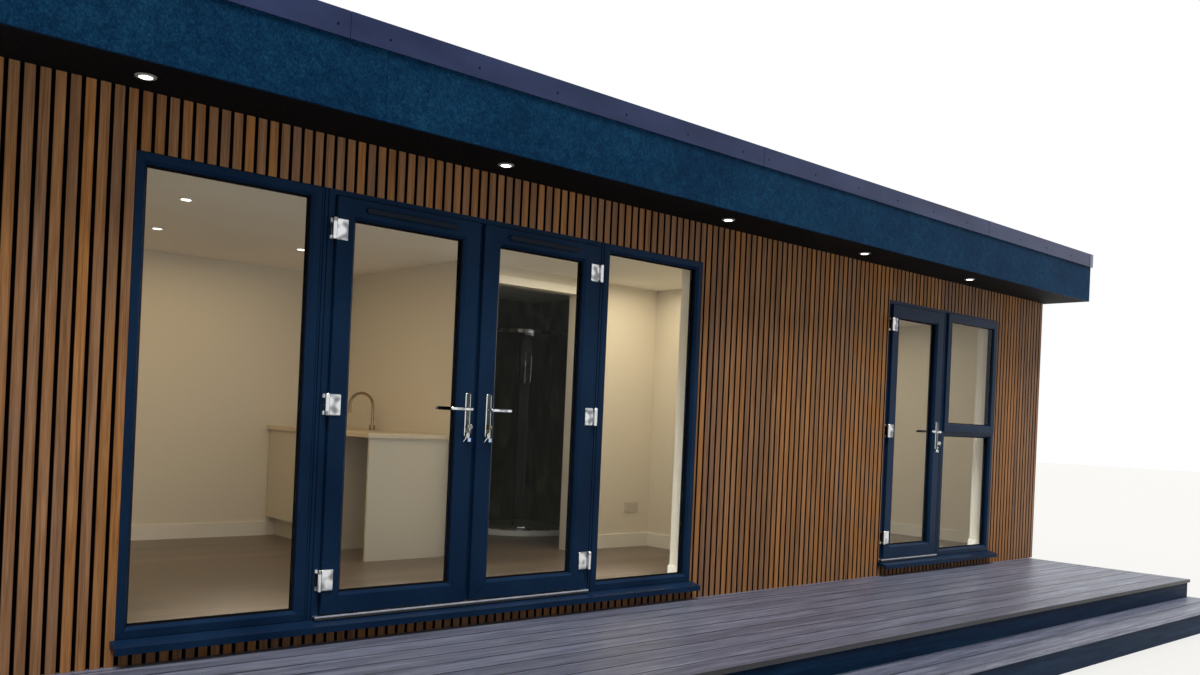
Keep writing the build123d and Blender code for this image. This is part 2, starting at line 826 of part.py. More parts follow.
def skirting_boards():
    """White boards at the foot of the walls that show through the glass, one solid a stretch."""
    z = (floor_top, floor_top + skirting_height)
    board = skirting_thickness
    reveal_xs = (french_x0, french_x1 - board, door_x1 - board)
    front_y = (room_front, room_front + board)
    back_y = (room_back - board, room_back)
    bath_face_y = (bath_y - board, bath_y)
    with BuildPart() as skirting:
        block((bath_door_x1 + architrave_width, bath_x1), bath_face_y, z)
        block((bath_x0, bath_door_x0 - architrave_width), bath_face_y, z)
        block((bath_x1 - board, bath_x1), (front_y[1] + plan_gap, bath_face_y[0] - plan_gap), z)
        block((divider_right, divider_right + board), (front_y[1] + plan_gap, back_y[0] - plan_gap), z)
        block((divider_right, room_right), back_y, z)
        block((room_right - board, room_right), (front_y[1] + plan_gap, back_y[0] - plan_gap), z)
        block((room_left, room_left + board), (front_y[1] + plan_gap, back_y[0] - plan_gap), z)
        block((room_left, unit_x0 - plan_gap), back_y, z)
        block((room_left, french_x0), front_y, z)
        block((french_x1, bath_x1), front_y, z)
        block((divider_right, door_x0), front_y, z)
        block((door_x1, room_right), front_y, z)
        for x in reveal_xs:
            block((x, x + board), (y_front + frame_depth, room_front - plan_gap), z)
    save("skirting", skirting)


def kitchen():
    """A run of units against the bathroom wall with an appliance bay at its near end."""
    carcass_x0 = unit_x0 + unit_door_thickness
    bay_end = unit_y0 + unit_panel + unit_bay
    plinth_top = floor_top + unit_plinth
    with BuildPart() as kitchen_unit:
        block((unit_x0, bath_x0), (unit_y0, unit_y0 + unit_panel), (floor_top, unit_top))
        block((carcass_x0, bath_x0), (bay_end, room_back), (plinth_top, unit_top))
        plinth_x0 = carcass_x0 + unit_plinth_setback
        block((plinth_x0, bath_x0), (bay_end, room_back), (floor_top, plinth_top))
        start = bay_end
        while start + unit_door < room_back:
            door_y = (start + unit_door_gap, start + unit_door - unit_door_gap)
            block((unit_x0, carcass_x0), door_y, (plinth_top, unit_top - unit_door_gap))
            start += unit_door
    save("kitchen_unit", kitchen_unit)

    worktop_z = (unit_top, unit_top + worktop_thickness)
    with BuildPart() as worktop:
        block((unit_x0 - worktop_lip, bath_x0), (unit_y0 - worktop_lip, room_back), worktop_z)
    save("worktop", worktop)

    tap_plane = Plane(
        origin=(bath_x0 - tap_wall_gap, y_front + tap_y, worktop_z[1]), x_dir=(-1, 0, 0), z_dir=(0, 1, 0)
    )
    with BuildPart() as kitchen_tap:
        with BuildLine(tap_plane) as spout:
            Line((0, 0), (0, tap_height))
            ThreePointArc(
                (0, tap_height), (tap_bend, tap_height + tap_bend), (2 * tap_bend, tap_height)
            )
            Line((2 * tap_bend, tap_height), (2 * tap_bend, tap_height - tap_drop))
        with BuildSketch(Plane(origin=tap_plane.origin)) as bore:
            Circle(tap_radius)
        sweep(bore.sketch, path=spout.line)
        with BuildSketch(Plane(origin=tap_plane.origin)) as base:
            Circle(tap_base_radius)
        extrude(base.sketch, amount=tap_base_height)
    save("kitchen_tap", kitchen_tap)

    with BuildPart() as wall_socket:
        with BuildSketch(wall_plane(bath_y)):
            with Locations((bath_x1 - socket_from_divider, floor_top + socket_rise)):
                RectangleRounded(socket_width, socket_height, flag_corner)
        extrude(amount=socket_thickness)
    save("wall_socket", wall_socket)


def shower():
    """A quadrant tray with a curved screen in the bathroom's corner by the room divider."""
    tray = Plane(origin=(bath_x1, room_back, floor_top), x_dir=(-1, 0, 0), z_dir=(0, 0, 1))
    screen_outside = tray_size - screen_inset
    with BuildPart() as shower_tray:
        with BuildSketch(tray):
            quadrant(tray_size)
        extrude(amount=tray_height)
    save("shower_tray", shower_tray)

    with BuildPart() as shower_screen:
        with BuildSketch(tray.offset(tray_height)):
            quadrant(screen_outside)
            quadrant(screen_outside - screen_glass, mode=Mode.SUBTRACT)
        extrude(amount=screen_height)
    save("shower_screen", shower_screen)

    with BuildPart() as shower_rail:
        with BuildSketch(tray.offset(tray_height + screen_height)):
            quadrant(screen_outside + rail_size / 2)
            quadrant(screen_outside - rail_size / 2, mode=Mode.SUBTRACT)
        extrude(amount=rail_size)
    save("shower_rail", shower_rail)


def quadrant(size, mode=Mode.ADD):
    """A quarter-round shower plan with its corner at the origin, straight beside both walls."""
    straight = size * tray_straight
    with BuildLine() as outline:
        Line((0, 0), (size, 0))
        side = Line((size, 0), (size, straight))
        round_end = JernArc(side @ 1, (0, 1), size - straight, 90)
        Line(round_end @ 1, (0, size))
        Line((0, size), (0, 0))
    make_face(outline.edges(), mode=mode)


def room_lights():
    with BuildPart() as lights:
        with BuildSketch(Plane.XY.offset(ceiling_level - room_light_drop)):
            with Locations([(x_left + x, y_front + y) for x, y in room_light_places]):
                Circle(room_light_radius)
        extrude(amount=room_light_drop)
    save("room_lights", lights)


base_and_floor()
walls()
cladding()
roof()
deck()
fixed_lights()
door_openings()
doors()
partitions()
skirting_boards()
kitchen()
shower()
room_lights()
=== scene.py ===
"""Garden annexe: its looks, in metres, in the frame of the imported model. +X runs right along the
front, +Y goes into the building, +Z is up, and the origin is on the ground under the middle of
the walls."""

import json
import math

import bmesh
import bpy
from mathutils import Matrix, Vector


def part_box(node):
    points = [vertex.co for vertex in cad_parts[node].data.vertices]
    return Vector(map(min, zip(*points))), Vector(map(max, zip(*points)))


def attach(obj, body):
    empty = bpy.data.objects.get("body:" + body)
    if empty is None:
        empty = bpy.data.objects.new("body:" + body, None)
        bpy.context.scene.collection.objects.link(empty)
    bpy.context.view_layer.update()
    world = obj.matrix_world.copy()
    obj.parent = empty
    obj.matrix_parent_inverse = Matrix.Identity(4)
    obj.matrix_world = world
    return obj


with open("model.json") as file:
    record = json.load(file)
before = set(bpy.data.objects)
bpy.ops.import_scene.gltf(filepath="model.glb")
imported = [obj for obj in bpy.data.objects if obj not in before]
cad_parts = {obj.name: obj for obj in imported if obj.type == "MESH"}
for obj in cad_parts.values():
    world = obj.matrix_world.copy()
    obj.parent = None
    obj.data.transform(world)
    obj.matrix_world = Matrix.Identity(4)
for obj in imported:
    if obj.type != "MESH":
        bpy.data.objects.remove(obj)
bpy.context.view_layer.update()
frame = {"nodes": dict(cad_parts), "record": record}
nodes = frame["nodes"]

# Sizes that the looks share with the building's source
SLAT_PITCH = 0.0553
SLAT_FACE = 0.040
CLADDING = 0.026
DECK_BOARD = 0.150
LEAF_STILE = 0.100
LEAF_BEAD = 0.014
FIXED_SIGHT = 0.050
SASH_STILE = 0.070
SASH_BEAD = 0.010
EDGE_CHAMFER = 0.003
LEAF_DEPTH = 0.070
PARTITION = 0.100
PLATE_THICKNESS = 0.008
PLATE_WIDTH = 0.033
PLATE_LENGTH = 0.240
PLATE_ABOVE = 0.088
CYLINDER_PROUD = 0.004
CYLINDER_DROP = 0.092
FLAG_THICKNESS = 0.005
FLAG_WIDTH = 0.060
HINGE_LENGTH = 0.100
BARREL_RADIUS = 0.011
FLAG_START = 0.013
TRIM_CAP_WIDTH = 0.060
TRIM_CAP_PROUD = 0.003

# Sizes of the looks alone
SLAT_EDGE_SHADE = 0.00304
SLATS_A_BOARD = 4
FLOOR_PLANK = 0.19
PLATE_RIM = 0.004


def low(node):
    """Lowest corner of a node."""
    return Vector(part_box(node)[0])


def high(node):
    """Highest corner of a node."""
    return Vector(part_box(node)[1])


FRONT_FACE = low("front_cladding").y
BACK_FACE = high("back_cladding").y
RIGHT_END = high("end_cladding").x
LEAF_FACE = low("single_leaf").y

# Colours that several materials share
WALL_CREAM = (0.76, 0.71, 0.61)
CHROME = (0.70, 0.715, 0.735)

# Material building


class Finish:
    """A principled material that is put together node by node, from places in metres."""

    def __init__(self, name, **plain):
        self.material = bpy.data.materials.new(name)
        self.material.use_nodes = True
        self.tree = self.material.node_tree
        self.shader = self.tree.nodes["Principled BSDF"]
        self.place = self.tree.nodes.new("ShaderNodeTexCoord").outputs["Object"]
        self.parts = None
        for words, value in plain.items():
            self.put(words.replace("_", " ").title().replace("Ior", "IOR"), value)

    def feed(self, socket, value):
        """Links an output, or sets a plain value or colour, on a socket."""
        if isinstance(value, bpy.types.NodeSocket):
            self.tree.links.new(value, socket)
        elif socket.type == "RGBA" and len(value) == 3:
            socket.default_value = (*value, 1.0)
        else:
            socket.default_value = value

    def put(self, name, value):
        self.feed(self.shader.inputs[name], value)

    def add(self, kind, inputs=(), **settings):
        node = self.tree.nodes.new("ShaderNode" + kind)
        for name, value in settings.items():
            setattr(node, name, value)
        for number, value in inputs:
            self.feed(node.inputs[number], value)
        return node

    def axis(self, letter):
        """The x, y or z of the point that is shaded."""
        if self.parts is None:
            self.parts = self.add("SeparateXYZ", [(0, self.place)])
        return self.parts.outputs[letter]

    def calc(self, operation, a, b=0.0):
        """One step of arithmetic on values."""
        return self.add("Math", [(0, a), (1, b)], operation=operation).outputs[0]

    def blend(self, *parts):
        """The sum of some values, each times its weight."""
        total = None
        for value, weight in parts:
            weighed = self.calc("MULTIPLY", value, weight)
            total = weighed if total is None else self.calc("ADD", total, weighed)
        return total

    def number(self, value, start, pitch):
        """Which strip of the given width a place lies in, counted from start."""
        return self.calc("FLOOR", self.calc("DIVIDE", self.calc("SUBTRACT", value, start), pitch))

    def lot(self, value, seed):
        """A steady random value from 0 to 1 for each whole number."""
        spread = self.calc("ADD", value, seed)
        return self.add("TexWhiteNoise", [(1, spread)], noise_dimensions="1D").outputs[0]

    def shift(self, vector, x=0.0, y=0.0, z=0.0):
        offset = self.add("CombineXYZ", [(0, x), (1, y), (2, z)]).outputs[0]
        return self.add("VectorMath", [(0, vector), (1, offset)], operation="ADD").outputs[0]

    def noise(self, stretch, detail=4.0, rough=0.55, twist=0.0, vector=None):
        """Noise with so many cells a metre along x, y and z."""
        base = self.place if vector is None else vector
        scaled = self.add("VectorMath", [(0, base), (1, stretch)], operation="MULTIPLY").outputs[0]
        node = self.add("TexNoise", [(0, scaled)])
        node.inputs["Scale"].default_value = 1.0
        node.inputs["Detail"].default_value = detail
        node.inputs["Roughness"].default_value = rough
        node.inputs["Distortion"].default_value = twist
        return node.outputs[0]

    def scale(self, value, a, b, c=0.0, d=1.0):
        """Takes value from the range a..b to the range c..d, held at its ends."""
        node = self.add("MapRange", [(0, value), (1, a), (2, b), (3, c), (4, d)])
        return node.outputs[0]

    def ramp(self, value, *stops):
        node = self.add("ValToRGB", [(0, value)])
        band = node.color_ramp
        while len(band.elements) < len(stops):
            band.elements.new(0.5)
        for element, (place, colour) in zip(band.elements, stops):
            element.position = place
            element.color = (*colour, 1.0)
        return node.outputs[0]

    def mix(self, share, a, b, blend="MIX"):
        node = self.add("Mix", [(0, share), (6, a), (7, b)], data_type="RGBA", blend_type=blend)
        return node.outputs[2]

    def shade(self, colour, value):
        """A colour times a plain value."""
        grey = self.add("CombineColor", [(0, value), (1, value), (2, value)]).outputs[0]
        return self.mix(1.0, colour, grey, "MULTIPLY")

    def bump(self, height, depth):
        """Relief of the given depth in metres, from a height of 0 to 1."""
        node = self.add("Bump")
        self.feed(node.inputs["Height"], height)
        node.inputs["Distance"].default_value = depth
        node.inputs["Strength"].default_value = 1.0
        self.put("Normal", node.outputs[0])


def within(finish, value, start, end):
    """1 where value lies from start to end, and 0 elsewhere."""
    over = finish.calc("GREATER_THAN", value, start)
    under = finish.calc("LESS_THAN", value, end)
    return finish.calc("MULTIPLY", over, under)


# Materials


def slat_finish(name, axis, start, deep_axis, face):
    """Brown wood-grain slats whose tone changes from slat to slat, from board to board and slowly
    along each slat. axis runs across the slats from start, and the grooves lie further in than the
    distance face along deep_axis. The grooves are painted near black, partly as their dark backing
    and partly as painted shade, and a band of painted shade runs along each slat's edges. On the two
    ends the slats are counted in opposite directions."""
    slat = Finish(name)
    slat.put("Specular Tint", (0.95, 0.55, 0.28))
    across = slat.axis(axis)
    if axis == "Y":
        across = slat.calc("MULTIPLY", across, slat.calc("SIGN", slat.axis("X")))
    spread = slat.calc("DIVIDE", slat.calc("SUBTRACT", across, start), SLAT_PITCH)
    slat_lot = slat.lot(slat.calc("FLOOR", spread), 71.7)
    board_lot = slat.lot(slat.number(across, start, SLAT_PITCH * SLATS_A_BOARD), 3.3)
    moved = slat.shift(slat.place, z=slat.calc("MULTIPLY", slat_lot, 40.0))
    fibre = slat.noise((260.0, 260.0, 5.0), 5.0, 0.65, 0.0, moved)
    figure = slat.noise((42.0, 42.0, 1.5), 3.0, 0.5, 1.4, moved)
    grain = slat.blend((fibre, 0.55), (figure, 0.45))
    drift = slat.scale(slat.noise((0.4, 0.4, 0.9), 2.0, 0.5, 0.0, moved), 0.3, 0.7)
    orange = slat.ramp(grain, (0.30, (0.090, 0.034, 0.009)), (0.50, (0.230, 0.100, 0.032)),
                       (0.72, (0.380, 0.185, 0.068)))
    tan = slat.ramp(grain, (0.30, (0.070, 0.033, 0.015)), (0.50, (0.180, 0.092, 0.045)),
                    (0.72, (0.300, 0.168, 0.090)))
    mauve = slat.ramp(grain, (0.30, (0.060, 0.031, 0.019)), (0.50, (0.150, 0.083, 0.053)),
                      (0.72, (0.250, 0.148, 0.100)))
    share = slat.blend((board_lot, 0.30), (slat_lot, 0.25), (drift, 0.45))
    warm = slat.mix(slat.scale(share, 0.50, 0.80), tan, orange)
    toned = slat.mix(slat.scale(share, 0.20, 0.46, 1.0, 0.0), warm, mauve)
    lively = slat.shade(toned, slat.scale(slat_lot, 0.0, 1.0, 0.98, 1.24))
    # The grooves go near black and lose their sheen: partly the dark backing, partly painted shade in the
    # recess.
    behind = slat.calc("SUBTRACT", face, slat.calc("ABSOLUTE", slat.axis(deep_axis)))
    groove_backing_and_shade = slat.scale(behind, 0.0012, 0.0035, 1.0, 0.025)
    # Painted shade: each slat's face darkens to 40 % in a narrow band along both edges beside the grooves.
    margin = (1.0 - SLAT_FACE / SLAT_PITCH) / 2
    from_gap = slat.calc("PINGPONG", spread, 0.5)
    rim = slat.scale(from_gap, margin, margin + SLAT_EDGE_SHADE / SLAT_PITCH, 0.40, 1.0)
    slat.put("Base Color", slat.shade(slat.shade(lively, groove_backing_and_shade), rim))
    slat.put("Specular IOR Level", slat.scale(groove_backing_and_shade, 0.0, 1.0, 0.0, 0.2))
    slat.put("Roughness", slat.scale(grain, 0.3, 0.7, 0.66, 0.50))
    slat.bump(grain, 0.0006)
    return slat.material


def navy_finish(name="navy foil", dark=1.0):
    """Navy foil over plastic profiles, with a fine satin grain."""
    navy = Finish(name, specular_ior_level=0.09)
    navy.put("Specular Tint", (0.30, 0.60, 1.0))
    grain = navy.noise((380.0, 380.0, 60.0), 3.0, 0.6)
    cloud = navy.noise((2.2, 2.2, 1.3), 2.0, 0.5)
    tone = navy.ramp(cloud, (0.3, (0.0024, 0.0090, 0.0260)), (0.7, (0.0060, 0.0190, 0.0480)))
    navy.put("Base Color", navy.shade(tone, navy.scale(grain, 0.3, 0.7, 0.85 * dark, 1.15 * dark)))
    navy.put("Roughness", navy.scale(grain, 0.3, 0.7, 0.26, 0.38))
    navy.bump(grain, 0.00012)
    return navy.material


def fascia_finish():
    """Dark teal boards with a mottled face."""
    fascia = Finish("fascia board", specular_ior_level=0.10)
    fascia.put("Specular Tint", (0.12, 0.45, 0.65))
    speck = fascia.noise((130.0, 130.0, 90.0), 6.0, 0.75, 0.6)
    blotch = fascia.noise((26.0, 26.0, 26.0), 3.0, 0.6, 0.8)
    cloud = fascia.noise((2.4, 2.4, 2.4), 3.0, 0.55)
    mixed = fascia.blend((speck, 0.60), (blotch, 0.25), (cloud, 0.15))
    tone = fascia.ramp(mixed, (0.38, (0.0006, 0.0072, 0.0260)), (0.50, (0.0022, 0.0195, 0.0520)),
                       (0.63, (0.0080, 0.0480, 0.0980)))
    fascia.put("Base Color", tone)
    fascia.put("Roughness", fascia.scale(speck, 0.3, 0.7, 0.58, 0.74))
    fascia.bump(speck, 0.0005)
    return fascia.material


def trim_finish():
    """Smooth slate-blue coated metal, rolled slightly uneven, with paler caps at the corners."""
    trim = Finish("coated trim", specular_ior_level=0.30)
    trim.put("Specular Tint", (0.45, 0.60, 1.0))
    wave = trim.noise((1.6, 1.6, 5.0), 2.0, 0.5)
    dust = trim.noise((34.0, 34.0, 34.0), 5.0, 0.65)
    tone = trim.ramp(wave, (0.3, (0.010, 0.015, 0.045)), (0.7, (0.024, 0.033, 0.085)))
    dusty = trim.mix(trim.scale(dust, 0.60, 0.85, 0.0, 0.15), tone, (0.08, 0.085, 0.12))
    off_middle = trim.calc("ABSOLUTE", trim.axis("X"))
    side = trim.calc("GREATER_THAN", off_middle, high("roof_trim").x - TRIM_CAP_WIDTH)
    front = trim.calc("LESS_THAN", trim.axis("Y"), low("roof_trim").y + TRIM_CAP_WIDTH)
    back = trim.calc("GREATER_THAN", trim.axis("Y"), high("roof_trim").y - TRIM_CAP_WIDTH)
    cap = trim.calc("MULTIPLY", side, trim.calc("ADD", front, back))
    trim.put("Base Color", trim.mix(cap, dusty, (0.13, 0.14, 0.19)))
    trim.put("Roughness", trim.scale(dust, 0.3, 0.7, 0.18, 0.32))
    trim.bump(wave, 0.0035)
    return trim.material


def deck_finish():
    """Charcoal composite boards with a wood grain along them, scuffed here and there, and with painted shade
    along the edges of each board.
    """
    deck = Finish("deck board")
    nosing = low("deck_boards").y
    board = deck.number(deck.axis("Y"), nosing, DECK_BOARD)
    lot = deck.lot(board, 5.1)
    moved = deck.shift(deck.place, x=deck.calc("MULTIPLY", lot, 30.0))
    fibre = deck.noise((7.0, 210.0, 210.0), 6.0, 0.68, 0.3, moved)
    figure = deck.noise((1.3, 26.0, 26.0), 4.0, 0.55, 1.1, moved)
    grain = deck.blend((fibre, 0.5), (figure, 0.5))
    tone = deck.ramp(grain, (0.32, (0.022, 0.025, 0.040)), (0.50, (0.086, 0.094, 0.138)),
                     (0.68, (0.205, 0.220, 0.290)))
    level = deck.shade(tone, deck.scale(lot, 0.0, 1.0, 0.85, 1.15))
    scuff = deck.noise((16.0, 60.0, 60.0), 5.0, 0.75)
    pale = deck.mix(deck.scale(scuff, 0.60, 0.74, 0.0, 0.65), level, (0.27, 0.28, 0.32))
    # Painted shade: each board darkens to 10 % over the last few millimetres at both edges, where the gaps
    # between boards lie.
    cross = deck.calc("FRACT", deck.calc("DIVIDE", deck.calc("SUBTRACT", deck.axis("Y"), nosing), DECK_BOARD))
    board_edge_shade = deck.scale(deck.calc("PINGPONG", cross, 0.5), 0.012, 0.050, 0.10, 1.0)
    deck.put("Base Color", deck.shade(pale, board_edge_shade))
    deck.put("Roughness", deck.scale(grain, 0.3, 0.7, 0.46, 0.32))
    deck.bump(grain, 0.0012)
    return deck.material


def riser_finish():
    """Navy boards with the same grain as the deck, toned darker than their own navy as painted shade under
    the deck's nosing.
    """
    riser = Finish("navy riser", specular_ior_level=0.05)
    riser.put("Specular Tint", (0.10, 0.35, 0.75))
    fibre = riser.noise((6.0, 6.0, 190.0), 6.0, 0.68, 0.3)
    figure = riser.noise((1.2, 1.2, 24.0), 4.0, 0.55, 1.0)
    grain = riser.blend((fibre, 0.5), (figure, 0.5))
    # These tones sit well below the navy itself: painted shade from the deck's overhang.
    tone = riser.ramp(grain, (0.30, (0.0006, 0.0038, 0.0130)), (0.52, (0.0016, 0.0110, 0.0310)),
                      (0.74, (0.0060, 0.0240, 0.0560)))
    riser.put("Base Color", tone)
    riser.put("Roughness", riser.scale(grain, 0.3, 0.7, 0.55, 0.42))
    riser.bump(grain, 0.0009)
    return riser.material


def soffit_finish():
    """Matt black soffit boards."""
    soffit = Finish("soffit", specular_ior_level=0.08)
    speck = soffit.noise((60.0, 60.0, 60.0), 5.0, 0.6)
    tone = soffit.ramp(speck, (0.3, (0.0006, 0.0009, 0.0014)), (0.7, (0.0016, 0.0022, 0.0034)))
    soffit.put("Base Color", tone)
    soffit.put("Roughness", soffit.scale(speck, 0.3, 0.7, 0.62, 0.78))
    soffit.bump(speck, 0.0003)
    return soffit.material


def membrane_finish():
    """Dark roof membrane with welded laps along the fall."""
    roof = Finish("roof membrane", specular_ior_level=0.35)
    speck = roof.noise((120.0, 120.0, 120.0), 4.0, 0.6)
    stain = roof.noise((1.1, 1.6, 1.0), 5.0, 0.6)
    tone = roof.ramp(stain, (0.3, (0.040, 0.043, 0.048)), (0.7, (0.075, 0.078, 0.083)))
    roof.put("Base Color", roof.shade(tone, roof.scale(speck, 0.3, 0.7, 0.85, 1.15)))
    roof.put("Roughness", roof.scale(stain, 0.3, 0.7, 0.60, 0.80))
    first_lap = -12.0
    lap_pitch = 1.5
    lap_width = 0.04
    lap_edge = 0.004
    along = roof.calc("DIVIDE", roof.calc("SUBTRACT", roof.axis("X"), first_lap), lap_pitch)
    part = roof.calc("MULTIPLY", roof.calc("FRACT", along), lap_pitch)
    lap = roof.scale(part, lap_width - lap_edge, lap_width, 1.0, 0.0)
    roof.bump(roof.blend((lap, 1.0), (speck, 0.15)), 0.003)
    return roof.material


def timber_finish():
    """Rough treated timber."""
    timber = Finish("treated timber")
    fibre = timber.noise((9.0, 90.0, 90.0), 6.0, 0.65, 0.5)
    stain = timber.noise((2.5, 2.5, 2.5), 4.0, 0.6)
    tone = timber.ramp(fibre, (0.3, (0.060, 0.046, 0.030)), (0.7, (0.175, 0.140, 0.095)))
    timber.put("Base Color", timber.shade(tone, timber.scale(stain, 0.3, 0.7, 0.7, 1.1)))
    timber.put("Roughness", 0.85)
    timber.bump(fibre, 0.0012)
    return timber.material


def panel_finish():
    """Sheathing board, hidden between the finishes."""
    panel = Finish("sheathing board")
    flake = panel.noise((60.0, 22.0, 40.0), 4.0, 0.7, 1.0)
    tone = panel.ramp(flake, (0.3, (0.30, 0.21, 0.12)), (0.7, (0.52, 0.40, 0.26)))
    panel.put("Base Color", tone)
    panel.put("Roughness", 0.8)
    panel.bump(flake, 0.0008)
    return panel.material


def rolled(finish):
    """The faint stipple that a paint roller leaves."""
    finish.bump(finish.noise((330.0, 330.0, 330.0), 3.0, 0.6), 0.0004)


def paint_finish(name, colour, rough=0.72):
    """Rolled wall paint."""
    paint = Finish(name, specular_ior_level=0.3)
    rolled(paint)
    cloud = paint.noise((1.1, 1.1, 1.1), 3.0, 0.5)
    paint.put("Base Color", paint.shade(colour, paint.scale(cloud, 0.3, 0.7, 0.96, 1.03)))
    paint.put("Roughness", rough)
    return paint.material


def room_finish():
    """Cream walls, with dark wet-room panels inside the bathroom, and sheathed in black under the
    floor, where the outside of the wall shows beside the deck."""
    room = Finish("room walls", specular_ior_level=0.35)
    rolled(room)
    shy = 0.005
    bath_x0 = low("partition_walls").x + PARTITION - shy
    bath_x1 = high("partition_walls").x - PARTITION + shy
    bath_y0 = high("architrave").y + PARTITION - shy
    across = within(room, room.axis("X"), bath_x0, bath_x1)
    inside = room.calc("MULTIPLY", across, room.calc("GREATER_THAN", room.axis("Y"), bath_y0))
    vein = room.noise((3.2, 3.2, 1.4), 7.0, 0.62, 1.6)
    wet = room.ramp(vein, (0.35, (0.040, 0.044, 0.020)), (0.55, (0.110, 0.120, 0.058)),
                    (0.72, (0.260, 0.280, 0.160)))
    sheathed = room.calc("LESS_THAN", room.axis("Z"), low("laminate_floor").z)
    lined = room.mix(inside, WALL_CREAM, wet)
    room.put("Base Color", room.mix(sheathed, lined, (0.018, 0.017, 0.016)))
    room.put("Roughness", room.scale(inside, 0.0, 1.0, 0.72, 0.22))
    return room.material


def laminate_finish():
    """Grey-brown laminate planks along the building, with their joints."""
    floor = Finish("laminate planks", specular_ior_level=0.45)
    first_row = -2.0
    plank_length = 1.29
    seam_width = 0.002
    row = floor.number(floor.axis("Y"), first_row, FLOOR_PLANK)
    row_lot = floor.lot(row, 9.0)
    start = floor.calc("MULTIPLY", row_lot, plank_length)
    along = floor.calc("ADD", floor.axis("X"), start)
    plank = floor.number(along, -9.0, plank_length)
    lot = floor.lot(floor.calc("ADD", plank, floor.calc("MULTIPLY", row, 17.0)), 2.0)
    moved = floor.shift(floor.place, x=floor.calc("MULTIPLY", lot, 25.0))
    fibre = floor.noise((5.0, 120.0, 60.0), 6.0, 0.66, 0.4, moved)
    figure = floor.noise((1.0, 14.0, 14.0), 4.0, 0.6, 1.6, moved)
    grain = floor.blend((fibre, 0.45), (figure, 0.55))
    tone = floor.ramp(grain, (0.30, (0.085, 0.062, 0.047)), (0.52, (0.175, 0.138, 0.110)),
                      (0.74, (0.270, 0.225, 0.188)))
    level = floor.shade(tone, floor.scale(lot, 0.0, 1.0, 0.82, 1.12))
    cross = floor.calc("SUBTRACT", floor.axis("Y"), floor.calc("MULTIPLY", row, FLOOR_PLANK))
    seam = floor.scale(cross, first_row, first_row + seam_width, 0.45, 1.0)
    floor.put("Base Color", floor.shade(level, seam))
    floor.put("Roughness", floor.scale(grain, 0.3, 0.7, 0.34, 0.46))
    floor.bump(grain, 0.0004)
    return floor.material


def glass_finish(name, tint):
    """Tinted glass that lets lamps through."""
    glass = Finish(name, roughness=0.0, ior=1.13, transmission_weight=1.0)
    glass.put("Base Color", tint)
    tree = glass.tree
    out = tree.nodes["Material Output"]
    clear = glass.add("BsdfTransparent")
    clear.inputs[0].default_value = (*tint, 1.0)
    path = glass.add("LightPath")
    blend = glass.add("MixShader")
    tree.links.new(path.outputs["Is Shadow Ray"], blend.inputs[0])
    tree.links.new(glass.shader.outputs[0], blend.inputs[1])
    tree.links.new(clear.outputs[0], blend.inputs[2])
    tree.links.new(blend.outputs[0], out.inputs["Surface"])
    return glass.material


def metal_finish(name, colour, rough, scratch, dull=0.86):
    """Metal with faint handling marks, toned down in patches to the share dull of its colour: mild tarnish
    where dull is high, painted dark reflections on the chrome, where it is low.
    """
    metal = Finish(name, metallic=1.0)
    smear = metal.noise((60.0, 60.0, 60.0), 5.0, 0.7)
    tarnish_and_dark_reflection = metal.noise((24.0, 24.0, 24.0), 0.0, 0.5, 0.0)
    metal.put("Base Color", metal.shade(colour, metal.scale(tarnish_and_dark_reflection, 0.34, 0.56, dull, 1.0)))
    metal.put("Roughness", metal.scale(smear, 0.35, 0.75, rough, rough + scratch))
    return metal.material


def threshold_finish():
    """Mill aluminium, with painted shade along the foot of its nose."""
    shade_rise = (0.010, 0.015)
    sill = Finish("mill aluminium", metallic=1.0)
    smear = sill.noise((18.0, 60.0, 60.0), 5.0, 0.7)
    bare_aluminium = sill.ramp(smear, (0.3, (0.58, 0.60, 0.66)), (0.7, (0.74, 0.76, 0.80)))
    # Painted shade: the aluminium darkens to 8 % over its lowest 10 to 15 mm, where it meets the deck.
    height = sill.calc("SUBTRACT", sill.axis("Z"), low("thresholds").z)
    sill.put("Base Color", sill.shade(bare_aluminium, sill.scale(height, *shade_rise, 0.08, 1.0)))
    sill.put("Roughness", sill.scale(smear, 0.35, 0.75, 0.26, 0.46))
    return sill.material


def plate_finish(name, lock_x):
    """Chrome whose long plate round lock_x carries a painted dark reflection on its flat face, with plain
    bright chrome along its rim.
    """
    plate = Finish(name, metallic=1.0)
    smear = plate.noise((60.0, 60.0, 22.0), 5.0, 0.7)
    bright = plate.shade(CHROME, plate.scale(smear, 0.3, 0.7, 0.86, 1.0))
    # Painted reflection: the plate's flat middle takes a dark mottled colour in place of chrome.
    off_centre = plate.calc("ABSOLUTE", plate.calc("SUBTRACT", plate.axis("X"), lock_x))
    rim = PLATE_WIDTH / 2 - PLATE_RIM
    middle = plate.scale(off_centre, rim - 0.001, rim, 1.0, 0.0)
    dark = plate.ramp(smear, (0.35, (0.020, 0.027, 0.022)), (0.60, (0.070, 0.084, 0.072)),
                      (0.75, (0.220, 0.235, 0.215)))
    plate.put("Base Color", plate.mix(middle, bright, dark))
    plate.put("Roughness", plate.scale(smear, 0.35, 0.75, 0.05, 0.16))
    return plate.material


def speckled_finish(name, colour, fleck, rough, size):
    """A hard surface with small flecks of a second colour."""
    board = Finish(name, specular_ior_level=0.45)
    speck = board.noise((size, size, size), 6.0, 0.75)
    board.put("Base Color", board.mix(board.scale(speck, 0.50, 0.70), colour, fleck))
    board.put("Roughness", rough)
    board.bump(speck, 0.0001)
    return board.material


